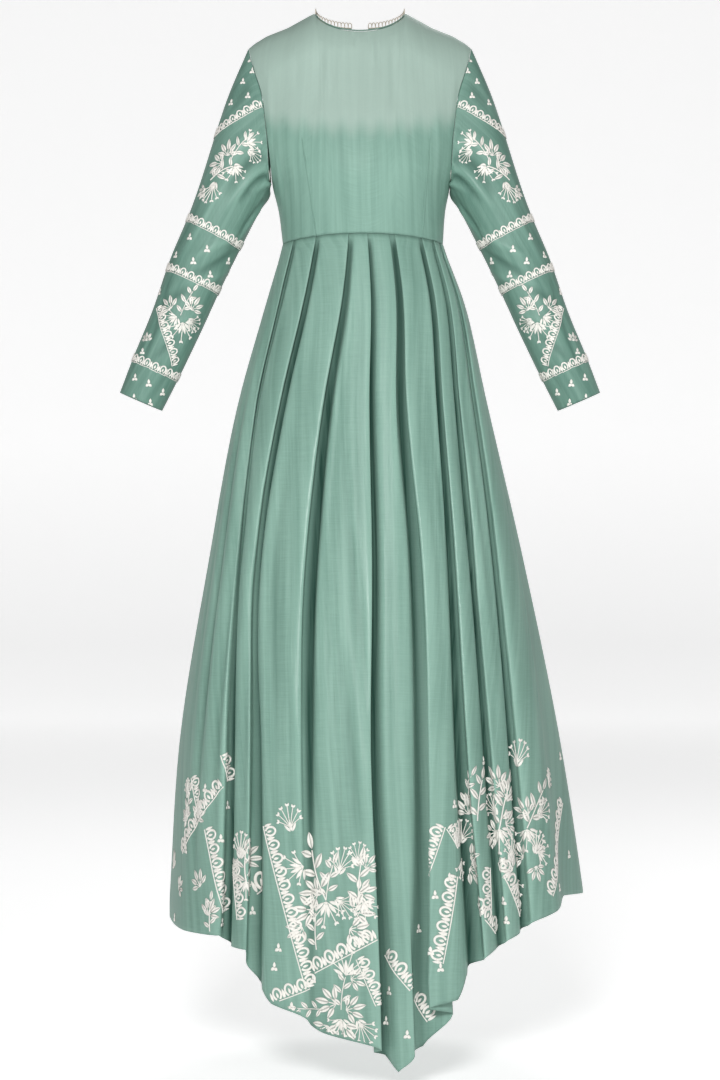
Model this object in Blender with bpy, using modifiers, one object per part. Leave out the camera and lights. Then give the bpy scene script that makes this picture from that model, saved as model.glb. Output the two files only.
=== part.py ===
"""An anarkali gown: a fitted bodice with long set-in sleeves over a long pleated skirt.

The gown is hollow and keeps the form of a figure inside it. Units are metres and +Z is up. The origin
lies midway between the two neck points, where a wearer's shoulders hold the gown. The front faces -Y
and +X is on the right as the front is seen. Heights are given as drops: how far below the neck points.
"""

import math

import bpy
import numpy as np

MM = 0.001

CLOTH = 1.5 * MM
LINING_CLOTH = 1.0 * MM
SEAM_GAP = 0.3 * MM

WAIST_DROP = 0.350
SHOULDER_HALF_WIDTH = 0.172
SHOULDER_DROP = 0.054
UNDERARM_DROP = 0.265
NECK_HALF_WIDTH = 0.071
FRONT_NECK_DROP = 0.038
BACK_NECK_DROP = 0.016
WAIST_SHIFT = 0.0045

PIPING_RADIUS = 1.1 * MM
TRIM_HEIGHT = 8.5 * MM
TRIM_CLOTH = 1.2 * MM
SLIT_HALF_WIDTH = 13 * MM
SLIT_DROP = 0.150

LINING_INSET = 3.2 * MM
LINING_SEAM = 0.2 * MM
LINING_UP = 1.0 * MM
LINING_TOP_MIDDLE = 0.196
LINING_TOP_SIDE = 0.172

SAGE = (0.165, 0.300, 0.245)
DEEP_SAGE = (0.085, 0.170, 0.135)
PALE_SAGE = (0.235, 0.375, 0.315)
CREAM = (0.780, 0.740, 0.650)


def table(columns, *rows):
    """A table with named columns, each an array over its rows."""
    names = columns.split()
    return {name: np.array([row[i] for row in rows]) for i, name in enumerate(names)}


def through(knots, values, at):
    """The smooth curve through values at ascending knots, read at the given places."""
    knots = np.asarray(knots, float)
    values = np.asarray(values, float)
    slopes = np.gradient(values, knots, axis=0)
    at = np.clip(at, knots[0], knots[-1])
    i = np.clip(np.searchsorted(knots, at) - 1, 0, len(knots) - 2)
    step = knots[i + 1] - knots[i]
    t = (at - knots[i]) / step
    extra = (1,) * (values.ndim - 1)
    t = t.reshape(t.shape + extra)
    step = step.reshape(step.shape + extra)
    start = (1 + 2 * t) * (1 - t) ** 2 * values[i] + t * (1 - t) ** 2 * step * slopes[i]
    finish = t * t * (3 - 2 * t) * values[i + 1] - t * t * (1 - t) * step * slopes[i + 1]
    return start + finish


# Bodice: each row is a level of the figure. edge is where the side seam or armhole lies, spread how
# much further out the front and back would meet, front and back how deep the body is there.
TORSO = table(
    "drop edge spread front back",
    (0.000, 0.178, 0.014, 0.056, 0.072),
    (0.054, 0.172, 0.014, 0.066, 0.090),
    (0.090, 0.163, 0.017, 0.075, 0.100),
    (0.129, 0.151, 0.022, 0.086, 0.104),
    (0.177, 0.144, 0.022, 0.100, 0.103),
    (0.216, 0.140, 0.018, 0.109, 0.099),
    (0.245, 0.138, 0.011, 0.112, 0.096),
    (0.265, 0.137, 0.000, 0.111, 0.093),
    (0.300, 0.129, 0.000, 0.104, 0.088),
    (0.350, 0.1235, 0.000, 0.092, 0.087),
)

SHOULDER = table(
    "out drop",
    (0.000, -0.002),
    (0.071, 0.000),
    (0.112, 0.0226),
    (0.144, 0.0350),
    (0.163, 0.0465),
    (0.172, 0.0540),
)
SHOULDER_ROUND = 0.070
MIDDLE_DEPTH = 0.095
TINY = 1e-9


def edge_at(drop):
    return through(TORSO["drop"], TORSO["edge"], drop)


def torso_depth(out, drop, side):
    """How far the front or back of the bodice lies from the plane of its seams."""
    edge = edge_at(drop)
    meet = edge + np.interp(drop, TORSO["drop"], TORSO["spread"])
    round_side = np.sqrt(np.clip(1 - (out / meet) ** 2, 0, 1))
    below = drop - np.interp(np.abs(out), SHOULDER["out"], SHOULDER["drop"])
    t = np.clip(below / SHOULDER_ROUND, 0, 1)
    round_top = np.sqrt(np.clip(1 - (1 - t) ** 2, 0, 1))
    return through(TORSO["drop"], TORSO[side], drop) * round_side * round_top


def torso_point(out, drop, side):
    """Points of the bodice at a distance out from the middle and a drop, as an array of x, y and z."""
    out, drop = np.broadcast_arrays(np.asarray(out, float), np.asarray(drop, float))
    shift = WAIST_SHIFT * np.clip((drop - 0.2) / (WAIST_DROP - 0.2), 0, 1)
    outward = -1 if side == "front" else 1
    y = outward * (torso_depth(out, drop, side) + 0.9 * SEAM_GAP)
    return np.stack([out + shift, y, -drop], axis=-1)


def neck_drop(turn, side, inset=0.0):
    """The drop of the neckline, or of a line this far in from it, at an angle round from its middle."""
    deepest = FRONT_NECK_DROP if side == "front" else BACK_NECK_DROP
    return (deepest - inset) * np.cos(turn) ** 1.1


# Columns of a bodice panel, as a share of the half width from -1 at one armhole to 1 at the other.
NECK_SHARE = NECK_HALF_WIDTH / SHOULDER_HALF_WIDTH
SHOULDER_TURNS = np.linspace(math.asin(NECK_SHARE), math.pi / 2, 6)[1:]
NECK_TURNS = np.linspace(-math.pi / 2, math.pi / 2, 9)
PANEL_DROPS = (0.350, 0.320, 0.290, 0.265, 0.250, 0.228, 0.195, 0.160, 0.125, 0.095, 0.075, 0.063, 0.056)
PANEL_DROPS += (SHOULDER_DROP,)


def panel_columns(side):
    """The share and the top drop of each column of a whole panel, as two arrays."""
    neck_shares = NECK_SHARE * np.sin(NECK_TURNS)
    neck_drops = neck_drop(NECK_TURNS, side)
    shares = np.sin(SHOULDER_TURNS)
    drops = np.interp(shares * SHOULDER_HALF_WIDTH, SHOULDER["out"], SHOULDER["drop"])
    return np.r_[-shares[::-1], neck_shares, shares], np.r_[drops[::-1], neck_drops, drops]


def back_out(edge, share, drop):
    """How far out a column of the back lies. The inner columns part in a slit that narrows downwards."""
    opening = SLIT_HALF_WIDTH * np.clip((SLIT_DROP - drop) / (SLIT_DROP - BACK_NECK_DROP), 0, 1)
    return edge * share + (opening + 0.5 * SEAM_GAP) * np.clip(1 - share / NECK_SHARE, 0, 1)


def panel_grid(side, shares, tops):
    """Out, drop and edge over a panel, whose columns run up to their own tops."""
    levels = np.array(PANEL_DROPS)[:, None]
    rise = (WAIST_DROP - levels) / (WAIST_DROP - SHOULDER_DROP)
    drop = WAIST_DROP + (tops - WAIST_DROP) * rise
    edge = edge_at(levels)
    out = edge * shares if side == "front" else back_out(edge, shares, drop)
    return out, drop


def front_panel():
    return torso_point(*panel_grid("front", *panel_columns("front")), "front")


def back_panel(hand):
    """Half of the back, on the +X side if hand is 1. Its columns run from the middle to the armhole."""
    shares, tops = panel_columns("back")
    right = shares > -TINY
    out, drop = panel_grid("back", shares[right], tops[right])
    return torso_point(hand * out, drop, "back")


def lining_panel(side, shares, hand=1):
    """The lining of a panel: the panel's own points, moved in, up to the lining's top edge."""
    top = LINING_TOP_SIDE + (LINING_TOP_MIDDLE - LINING_TOP_SIDE) * (1 - shares**2)
    levels = np.array([drop for drop in PANEL_DROPS if drop > LINING_TOP_SIDE] + [LINING_TOP_SIDE])[:, None]
    rise = (WAIST_DROP - levels) / (WAIST_DROP - LINING_TOP_SIDE)
    drop = WAIST_DROP - LINING_UP + (top - WAIST_DROP + LINING_UP) * rise
    edge = edge_at(levels)
    out = edge * shares if side == "front" else back_out(edge, shares, drop)
    points = torso_point(hand * out, drop, side)
    points[..., 0] -= hand * LINING_INSET * out / edge
    points[..., 1] *= 1 - LINING_INSET / MIDDLE_DEPTH
    points[..., 1] += -LINING_SEAM if side == "front" else LINING_SEAM
    return points


# Sleeve: each row is a section from the armhole to the cuff, given by where its outer and its inner
# side lie, how deep it is from front to back, and how far forward the hanging arm carries it.
SLEEVE = table(
    "along outer_out outer_drop inner_out inner_drop deep forward",
    (0.070, 0.2065, 0.1349, 0.1410, 0.2790, 0.0550, 0.000),
    (0.150, 0.2500, 0.2706, 0.1590, 0.3120, 0.0530, 0.002),
    (0.285, 0.2962, 0.3881, 0.2162, 0.4272, 0.0460, 0.006),
    (0.365, 0.3212, 0.4628, 0.2465, 0.4945, 0.0410, 0.012),
    (0.440, 0.3497, 0.5340, 0.2821, 0.5696, 0.0370, 0.018),
    (0.495, 0.3698, 0.5881, 0.3052, 0.6158, 0.0345, 0.022),
)
SLEEVE_RINGS = 11
SLEEVE_SEAM = (1.6 * MM, 0, -0.8 * MM)


def sleeve_rings():
    """The sleeve on the +X side: a ring of points for each section along it, from armhole to cuff.

    Its lines start at the bodice's own points round the armhole, down the front and up the back.
    """
    down = np.array([drop for drop in PANEL_DROPS[::-1] if drop <= UNDERARM_DROP])
    front = torso_point(edge_at(down), down, "front")
    back = torso_point(edge_at(down), down, "back")
    front[[0, -1], 1] = 0
    armhole = np.concatenate([front, back[-2:0:-1]])
    fall = np.arccos(np.clip(1 - 2 * (down - SHOULDER_DROP) / (UNDERARM_DROP - SHOULDER_DROP), -1, 1))
    turn = np.concatenate([fall, 2 * math.pi - fall[-2:0:-1]])
    armhole += np.array(SLEEVE_SEAM)
    sections = [armhole]
    for row in range(len(SLEEVE["along"])):
        outer = np.array([SLEEVE["outer_out"][row], -SLEEVE["outer_drop"][row]])
        inner = np.array([SLEEVE["inner_out"][row], -SLEEVE["inner_drop"][row]])
        middle = (outer + inner) / 2
        across = (outer - inner) / 2
        x = middle[0] + across[0] * np.cos(turn)
        z = middle[1] + across[1] * np.cos(turn)
        y = -SLEEVE["forward"][row] - SLEEVE["deep"][row] * np.sin(turn)
        sections.append(np.stack([x, y, z], axis=-1))
    knots = np.concatenate([[0.0], SLEEVE["along"]])
    return through(knots, np.array(sections), np.linspace(0, knots[-1], SLEEVE_RINGS))


# Skirt: the plain bell that the folds stand on, a row for each level.
BELL = table(
    "drop middle half_width front back",
    (0.350, 0.0045, 0.1235, 0.092, 0.087),
    (0.443, 0.0080, 0.1520, 0.116, 0.112),
    (0.598, 0.0040, 0.1915, 0.150, 0.148),
    (0.846, 0.0090, 0.2430, 0.195, 0.192),
    (1.125, 0.0140, 0.2910, 0.240, 0.235),
    (1.373, 0.0240, 0.3140, 0.262, 0.258),
    (1.600, 0.0300, 0.3300, 0.275, 0.270),
)

# Levels at which the folds are placed, and the three of them at which their depths are given.
LEVEL_DROPS = (0.350, 0.598, 0.846, 1.125, 1.450)
KEY_DROPS = (0.350, 0.846, 1.450)

# Soft folds. place is the turn in degrees from the middle of the front at the waist, hip, knee, shin
# and hem, crest how far the cloth stands out there in millimetres at the waist, knee and hem, and
# hem how far down it ends.
SOFT_FOLDS = table(
    "name place crest hem",
    ("left seam", (-90, -90, -90, -90, -90), (0, 0, 4), 1.398),
    ("side crest", (-76, -71, -66, -60, -61), (0, 5, 14), 1.400),
    ("left panel", (-22, -28, -32, -28.5, -28.5), (1.5, 4, 7), 1.490),
    ("E lip", (18.8, 14.6, 11.2, 8.3, 8.6), (1.5, 7, 9), 1.560),
    ("E panel", (33, 27, 25.2, 22, 20), (1, 5, 16), 1.480),
    ("right crest", (81, 73, 65, 58, 56), (0, 5, 13), 1.368),
    ("right dip", (85.5, 81, 76, 71, 69), (0, -2, -9), 1.354),
    ("right seam", (90, 90, 90, 90, 90), (0, 1, 10), 1.362),
    ("back crest A", (101, 101, 103, 104, 104), (0, 5, 16), 1.352),
    ("back panel", (196, 197, 198, 198, 198), (1, 4, 8), 1.442),
    ("back crest B", (258, 258, 256, 255, 255), (0, 4, 18), 1.318),
    ("left seam again", (270, 270, 270, 270, 270), (0, 0, 4), 1.398),
)

# Pleats. faces is the way the folded edge faces, 1 to the right of someone who stands outside and
# looks in, and -1 to the left. floor is how far the under layer stands out (negative is in), lap how
# far the pleat is turned under and reveal how much of the under layer shows beside the edge before it
# rises. hem is how far down the edge, the turn, the under layer and the risen layer end.
PLEATS = table(
    "name faces place crest floor lap reveal hem",
    (
        "pleat A", 1, (-59, -57, -53, -46, -46),
        (1, 7, 10), (-8, -11, -14), (10, 2, 4), (2, 3, 4), (1.399, 1.405, 1.412, 1.414),
    ),
    (
        "pleat B", 1, (-35, -39, -43, -36.5, -36),
        (1, 7, 12), (-8, -13, -16), (12, 2, 8), (2, 4, 8), (1.415, 1.440, 1.463, 1.474),
    ),
    (
        "pleat C", 1, (-10, -17, -21.5, -20, -20),
        (1, 6, 2), (-8, -14, -4), (12, 3, -6), (2, 12, 10), (1.507, 1.512, 1.519, 1.528),
    ),
    (
        "pleat D", 1, (3, 2.9, 1.9, 0.3, 0.4),
        (1, 6, 12), (-8, -14, -16), (9, 3, 10), (1.5, 5, 5), (1.550, 1.556, 1.562, 1.583),
    ),
    (
        "pleat E", -1, (23, 19.6, 19.5, 16.5, 12.4),
        (1, 8, 18), (-8, -16, -14), (9, 3, 36), (2, 10, 5), (1.490, 1.503, 1.550, 1.556),
    ),
    (
        "pleat F", -1, (46.6, 38, 32.5, 28.8, 28.5),
        (1, 8, 12), (-8, -11, -22), (8, 2, 6), (2, 4, 10), (1.424, 1.430, 1.437, 1.450),
    ),
    (
        "pleat G", -1, (61, 49, 42, 37.5, 36),
        (1, 6, 9), (-7, -8, -8), (6, 1, 1), (2, 3, 4), (1.402, 1.407, 1.411, 1.416),
    ),
    (
        "pleat H", -1, (74, 63, 54, 48, 45),
        (1, 6, 9), (-7, -8, -10), (4, 1, 1), (2, 4, 6), (1.380, 1.386, 1.390, 1.395),
    ),
    (
        "back pleat A", 1, (114, 114, 117, 119, 120),
        (1, 7, 12), (-8, -12, -20), (8, 2, 6), (2, 6, 12), (1.370, 1.376, 1.384, 1.392),
    ),
    (
        "back pleat B", 1, (139, 139, 142, 144, 144),
        (1, 7, 13), (-8, -12, -20), (11, 3, 8), (2, 6, 12), (1.408, 1.412, 1.420, 1.432),
    ),
    (
        "back pleat C", 1, (172, 172, 172, 171, 172),
        (1, 6, 12), (-8, -12, -20), (12, 3, 8), (2, 6, 12), (1.452, 1.455, 1.458, 1.456),
    ),
    (
        "back pleat D", -1, (221, 222, 219, 218, 219),
        (1, 7, 13), (-8, -12, -20), (11, 3, 8), (2, 6, 12), (1.386, 1.392, 1.402, 1.414),
    ),
    (
        "back pleat E", -1, (246, 245, 242, 240, 240),
        (1, 7, 12), (-8, -12, -20), (8, 2, 6), (2, 6, 12), (1.338, 1.345, 1.354, 1.366),
    ),
)

# How far beyond its lowest line an under layer has risen, at the waist, knee and hem. The risen layer
# stands out by RISEN of the crest, and the turn lies TURN_SHARE of the way down to the floor.
RISE = (7, 9, 16)
RISEN = 0.25
TURN_SHARE = 0.6
SKIRT_ROWS = 11


def bell_at(name, drop):
    return through(BELL["drop"], BELL[name], drop)


def pleat_lines(row, radius):
    """The four lines of cloth that make a pleat, in order around the skirt.

    They are its edge, the turn behind it, the under layer beside it, and where that layer has risen
    to be the next panel.
    """
    pleat = {name: PLEATS[name][row] for name in PLEATS}
    name, faces, place, crest, floor = (pleat[key] for key in ("name", "faces", "place", "crest", "floor"))

    def degrees(millimetres):
        return np.degrees(np.interp(LEVEL_DROPS, KEY_DROPS, millimetres) * MM / radius)

    turn = place - faces * degrees(pleat["lap"])
    under = place + faces * degrees(pleat["reveal"])
    rise = under + faces * degrees(RISE)
    lines = [
        (name, place, crest),
        (name + " turn", turn, crest + TURN_SHARE * (floor - crest)),
        (name + " under", under, floor),
        (name + " rise", rise, RISEN * crest),
    ]
    return [(*line, hem) for line, hem in zip(lines, pleat["hem"])][::faces]


def skirt_lines():
    """Each line of the cloth from waist to hem, in order around the skirt from its left seam."""
    radius = (bell_at("half_width", LEVEL_DROPS) + bell_at("front", LEVEL_DROPS)) / 2
    soft = zip(*(SOFT_FOLDS[key] for key in ("name", "place", "crest", "hem")))
    groups = [(row[1][0], [row]) for row in soft]
    groups += [(PLEATS["place"][row][0], pleat_lines(row, radius)) for row in range(len(PLEATS["name"]))]
    groups.sort(key=lambda group: group[0])
    return [line for _, group in groups for line in group]


LINES = skirt_lines()
LINE_NAMES = [line[0] for line in LINES]
LINE_PLACES = np.array([line[1] for line in LINES])
LINE_STANDS = np.array([line[2] for line in LINES]) * MM
LINE_HEMS = np.array([line[3] for line in LINES])
RIGHT_SEAM = LINE_NAMES.index("right seam")
LAST_LINE = len(LINES) - 1


def line_points(lines, drop):
    """Where the given lines of the skirt pass the given drops, in plan."""
    each = np.arange(len(drop)), lines % LAST_LINE
    turn = np.radians(through(LEVEL_DROPS, LINE_PLACES.T, drop)[each])
    stand = through(KEY_DROPS, LINE_STANDS.T, drop)[each]
    half_width = bell_at("half_width", drop)
    depth = np.where(np.cos(turn) > 0, bell_at("front", drop), bell_at("back", drop))
    x = half_width * np.sin(turn)
    y = -depth * np.cos(turn)
    normal = np.stack([np.sin(turn) / half_width, -np.cos(turn) / depth], axis=-1)
    normal /= np.linalg.norm(normal, axis=-1, keepdims=True)
    return np.stack([x + bell_at("middle", drop), y], axis=-1) + stand[:, None] * normal


def rounded(points, share):
    """A rounded curve between the middle two of four points, even in pace, so that it never loops."""
    a, b, c, d = points
    ab = np.linalg.norm(b - a, axis=-1, keepdims=True) ** 0.5 + 1e-6
    bc = np.linalg.norm(c - b, axis=-1, keepdims=True) ** 0.5 + 1e-6
    cd = np.linalg.norm(d - c, axis=-1, keepdims=True) ** 0.5 + 1e-6
    start = ((b - a) / ab - (c - a) / (ab + bc) + (c - b) / bc) * bc
    finish = ((c - b) / bc - (d - b) / (bc + cd) + (d - c) / cd) * bc
    t = share[:, None]
    level = (1 + 2 * t) * (1 - t) ** 2 * b + t * t * (3 - 2 * t) * c
    return level + t * (1 - t) ** 2 * start - t * t * (1 - t) * finish


def hem_at(along):
    """How far down the hem lies, where along counts the skirt's lines."""
    return np.interp(along, np.arange(LAST_LINE + 1), LINE_HEMS)


def skirt_point(along, drop):
    """Points of the skirt, where along counts its lines and fractions between them."""
    along, drop = np.broadcast_arrays(np.asarray(along, float), np.asarray(drop, float))
    flat_along, flat_drop = along.ravel(), drop.ravel()
    line = np.clip(np.floor(flat_along).astype(int), 0, LAST_LINE - 1)
    near = [line_points(line + step, flat_drop) for step in (-1, 0, 1, 2)]
    plan = rounded(near, flat_along - line)
    return np.concatenate([plan, -flat_drop[:, None]], axis=-1).reshape(along.shape + (3,))


def skirt_panel(first, last):
    """The skirt between two of its lines."""
    along = np.arange(first, last + 0.25, 0.5)
    top = WAIST_DROP + 1.5 * SEAM_GAP
    rise = np.linspace(0, 1, SKIRT_ROWS)[:, None]
    drop = top + (hem_at(along)[None, :] - top) * rise
    points = skirt_point(along[None, :], drop)
    outward = -1 if first == 0 else 1
    points[..., 1] += outward * 0.7 * SEAM_GAP
    return points


def material(name, colour, roughness):
    made = bpy.data.materials.new(name)
    made.use_nodes = True
    shader = made.node_tree.nodes["Principled BSDF"]
    shader.inputs["Base Color"].default_value = (*colour, 1)
    shader.inputs["Roughness"].default_value = roughness
    shader.inputs["Metallic"].default_value = 0.0
    made.diffuse_color = (*colour, 1)
    return made


def link(made, name):
    piece = bpy.data.objects.new(name, made)
    gown.objects.link(piece)
    return piece


def cloth(name, points, wall, finish, closed=False):
    """A sheet through a grid of points, with the wall's thickness shared between its two faces."""
    rows, columns = points.shape[:2]
    around = columns if closed else columns - 1
    corner = np.arange(rows * columns).reshape(rows, columns)
    faces = [
        (corner[r, c], corner[r, (c + 1) % columns], corner[r + 1, (c + 1) % columns], corner[r + 1, c])
        for r in range(rows - 1)
        for c in range(around)
    ]
    mesh = bpy.data.meshes.new(name)
    mesh.from_pydata([tuple(point) for point in points.reshape(-1, 3)], [], faces)
    mesh.materials.append(finish)
    mesh.shade_smooth()
    piece = link(mesh, name)
    shell = piece.modifiers.new("wall", "SOLIDIFY")
    shell.thickness = wall
    shell.offset = 0
    shell.use_even_offset = False
    return piece


def tube(name, points, radius, finish):
    """A round cord through the given points, with closed ends."""
    curve = bpy.data.curves.new(name, "CURVE")
    curve.dimensions = "3D"
    spline = curve.splines.new("POLY")
    spline.points.add(len(points) - 1)
    for place, point in zip(spline.points, points):
        place.co = (*point, 1)
    curve.bevel_depth = radius
    curve.bevel_resolution = 1
    curve.use_fill_caps = True
    curve.materials.append(finish)
    return link(curve, name)


def neckline(side, inset, turns):
    """Points along the neckline, this far in from the panel's edge and level with its columns."""
    out = (NECK_HALF_WIDTH - inset) * np.sin(turns)
    if side == "back":
        out += SLIT_HALF_WIDTH * (1 - np.sin(turns))
    return torso_point(out, neck_drop(turns, side, inset), side)


def mirrored(points):
    return points * np.array([-1.0, 1.0, 1.0])


for old in list(bpy.data.objects):
    bpy.data.objects.remove(old, do_unlink=True)

gown = bpy.data.collections.new("anarkali_gown")
bpy.context.scene.collection.children.link(gown)

silk = material("sage silk", SAGE, 0.48)
dark_silk = material("deep sage piping", DEEP_SAGE, 0.5)
lining_silk = material("pale sage lining", PALE_SAGE, 0.6)
crochet = material("cream crochet", CREAM, 0.75)

# Bodice: one front, and a back in two halves that part at the neck in a slit.
cloth("bodice_front", front_panel(), CLOTH, silk)
cloth("bodice_back_right", back_panel(1), CLOTH, silk)
cloth("bodice_back_left", back_panel(-1), CLOTH, silk)

# Lining: it stops below the neck, where the outer cloth is sheer.
lining_shares = np.sin(np.linspace(-math.pi / 2, math.pi / 2, 13))
half_shares = lining_shares[6:]
cloth("lining_front", lining_panel("front", lining_shares), LINING_CLOTH, lining_silk)
cloth("lining_back_right", lining_panel("back", half_shares, 1), LINING_CLOTH, lining_silk)
cloth("lining_back_left", lining_panel("back", half_shares, -1), LINING_CLOTH, lining_silk)

# Sleeves.
sleeve = sleeve_rings()
cloth("sleeve_right", sleeve, CLOTH, silk, closed=True)
cloth("sleeve_left", mirrored(sleeve), CLOTH, silk, closed=True)

# Skirt, seamed at the two sides.
cloth("skirt_front", skirt_panel(0, RIGHT_SEAM), CLOTH, silk)
cloth("skirt_back", skirt_panel(RIGHT_SEAM, LAST_LINE), CLOTH, silk)

# Neck: piping all round up to the slit, and the loop trim standing on its back half.
piping_inset = PIPING_RADIUS + CLOTH / 2 + SEAM_GAP
front_neck = neckline("front", piping_inset, NECK_TURNS[1:-1])
back_neck = neckline("back", piping_inset, NECK_TURNS[:3:-1])
whole_neck = np.concatenate([mirrored(back_neck)[::-1], front_neck, back_neck])
tube("neck_piping", whole_neck, PIPING_RADIUS, dark_silk)

trim_foot = back_neck.copy()
trim_foot[:, 2] += PIPING_RADIUS + TRIM_CLOTH / 2
trim_head = trim_foot + np.array([0, 0, TRIM_HEIGHT])
trim = np.stack([trim_foot, (trim_foot + trim_head) / 2, trim_head])
cloth("neck_trim_right", trim, TRIM_CLOTH, crochet)
cloth("neck_trim_left", mirrored(trim), TRIM_CLOTH, crochet)
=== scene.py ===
"""An anarkali gown in sage silk: a fitted bodice with a sheer yoke, long embroidered sleeves and a long
pleated skirt with a pointed, embroidered hem. It hangs from a wearer's shoulders and keeps their form.

Sizes are in metres. The gown's front faces -Y, +X is on the right as the front is seen, and a drop is
how far something lies below the neck points.
"""

import math

import bpy
import numpy as np
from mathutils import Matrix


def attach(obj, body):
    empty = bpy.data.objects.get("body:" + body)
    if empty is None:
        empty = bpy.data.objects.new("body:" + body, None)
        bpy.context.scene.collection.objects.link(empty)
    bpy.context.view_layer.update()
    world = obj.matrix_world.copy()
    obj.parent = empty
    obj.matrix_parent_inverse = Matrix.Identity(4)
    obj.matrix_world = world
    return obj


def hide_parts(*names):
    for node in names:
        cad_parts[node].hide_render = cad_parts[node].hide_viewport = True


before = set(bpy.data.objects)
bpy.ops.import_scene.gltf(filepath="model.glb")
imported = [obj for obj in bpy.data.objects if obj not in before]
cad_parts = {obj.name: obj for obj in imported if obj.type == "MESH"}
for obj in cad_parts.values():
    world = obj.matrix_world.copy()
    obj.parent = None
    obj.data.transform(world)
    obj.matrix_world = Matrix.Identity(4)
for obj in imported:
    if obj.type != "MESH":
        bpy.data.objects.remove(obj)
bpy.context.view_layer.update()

# Bodice front. One panel of silk chanderi from the shoulders to the waist, shaped by a long dart on
# each side and sewn to the back at the shoulders and sides. Above the lining the silk is sheer.

MM = 0.001
SEAM_GAP = 0.3 * MM
SILK = 0.7 * MM

WAIST_DROP = 0.350
WAIST_HALF_WIDTH = 0.1235
SHOULDER_HALF_WIDTH = 0.172
SHOULDER_DROP = 0.054
NECK_HALF_WIDTH = 0.071
NECK_SHARE = NECK_HALF_WIDTH / SHOULDER_HALF_WIDTH
NECK_DROPS = {"front": 0.038, "back": 0.016}
WAIST_SHIFT = 0.0045
SHIFT_STARTS = 0.200
LINING_TOP_MIDDLE = 0.196
LINING_TOP_SIDE = 0.172
MIRROR = np.array([-1.0, 1.0, 1.0])


def table(columns, *rows):
    """A table with named columns, each an array over its rows."""
    names = columns.split()
    return {name: np.array([row[i] for row in rows]) for i, name in enumerate(names)}


def unit(vectors):
    """The same directions with a length of 1."""
    return vectors / np.maximum(np.linalg.norm(vectors, axis=-1, keepdims=True), 1e-12)


def through(knots, values, at):
    """The smooth curve through values at ascending knots, read at the given places."""
    knots = np.asarray(knots, float)
    values = np.asarray(values, float)
    slopes = np.gradient(values, knots, axis=0)
    at = np.clip(at, knots[0], knots[-1])
    i = np.clip(np.searchsorted(knots, at) - 1, 0, len(knots) - 2)
    step = knots[i + 1] - knots[i]
    t = (at - knots[i]) / step
    extra = (1,) * (values.ndim - 1)
    t = t.reshape(t.shape + extra)
    step = step.reshape(step.shape + extra)
    start = (1 + 2 * t) * (1 - t) ** 2 * values[i] + t * (1 - t) ** 2 * step * slopes[i]
    finish = t * t * (3 - 2 * t) * values[i + 1] - t * t * (1 - t) * step * slopes[i + 1]
    return start + finish


# The figure that the bodice is cut to: where its side seam or armhole lies, how much further out the
# front and back would meet, and how deep the front and back are.
TORSO = table(
    "drop edge spread front back",
    (0.000, 0.178, 0.014, 0.056, 0.072),
    (0.054, 0.172, 0.014, 0.066, 0.090),
    (0.090, 0.163, 0.017, 0.075, 0.100),
    (0.129, 0.151, 0.022, 0.086, 0.104),
    (0.177, 0.144, 0.022, 0.100, 0.103),
    (0.216, 0.140, 0.018, 0.109, 0.099),
    (0.245, 0.138, 0.011, 0.112, 0.096),
    (0.265, 0.137, 0.000, 0.111, 0.093),
    (0.300, 0.129, 0.000, 0.104, 0.088),
    (WAIST_DROP, WAIST_HALF_WIDTH, 0.000, 0.092, 0.087),
)
SHOULDER = table(
    "out drop",
    (0.000, -0.002),
    (0.071, 0.000),
    (0.112, 0.0226),
    (0.144, 0.0350),
    (0.163, 0.0465),
    (0.172, 0.0540),
)
SHOULDER_ROUND = 0.070


def edge_at(drop):
    return through(TORSO["drop"], TORSO["edge"], drop)


def torso_depth(out, drop, side):
    """How far the front or back lies from the plane of its seams."""
    meet = edge_at(drop) + np.interp(drop, TORSO["drop"], TORSO["spread"])
    round_side = np.sqrt(np.clip(1 - (out / meet) ** 2, 0, 1))
    below = drop - np.interp(np.abs(out), SHOULDER["out"], SHOULDER["drop"])
    t = np.clip(below / SHOULDER_ROUND, 0, 1)
    round_top = np.sqrt(np.clip(1 - (1 - t) ** 2, 0, 1))
    return through(TORSO["drop"], TORSO[side], drop) * round_side * round_top


def waist_shift(drop):
    """How far the figure leans towards +X, which grows down to the waist."""
    return WAIST_SHIFT * np.clip((drop - SHIFT_STARTS) / (WAIST_DROP - SHIFT_STARTS), 0, 1)


def torso_point(out, drop, side):
    """Points of the plain bodice, this far out and down, in front or behind."""
    out, drop = np.broadcast_arrays(np.asarray(out, float), np.asarray(drop, float))
    outward = -1 if side == "front" else 1
    y = outward * (torso_depth(out, drop, side) + 0.9 * SEAM_GAP)
    return np.stack([out + waist_shift(drop), y, -drop], axis=-1)


def torso_outward(out, drop, side):
    """The outward direction of the plain bodice, from the steps between near points."""
    near = 0.5 * MM
    right = torso_point(out + near, drop, side) - torso_point(out - near, drop, side)
    down = torso_point(out, drop + near, side) - torso_point(out, drop - near, side)
    return unit(np.cross(down, right)) * (1 if side == "front" else -1)


def neck_drop(turn, side, inset=0.0):
    """How far down the neckline lies, deepest in the middle."""
    return (NECK_DROPS[side] - inset) * np.cos(turn) ** 1.1


PANEL_DROPS = (
    0.350, 0.320, 0.290, 0.265, 0.250, 0.228, 0.195, 0.160, 0.125, 0.095, 0.075, 0.063, 0.056, SHOULDER_DROP,
)


def finer(values, times):
    """The same run of values with each step cut into so many."""
    places = np.arange(len(values))
    return np.interp(np.linspace(0, places[-1], times * places[-1] + 1), places, values)


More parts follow.
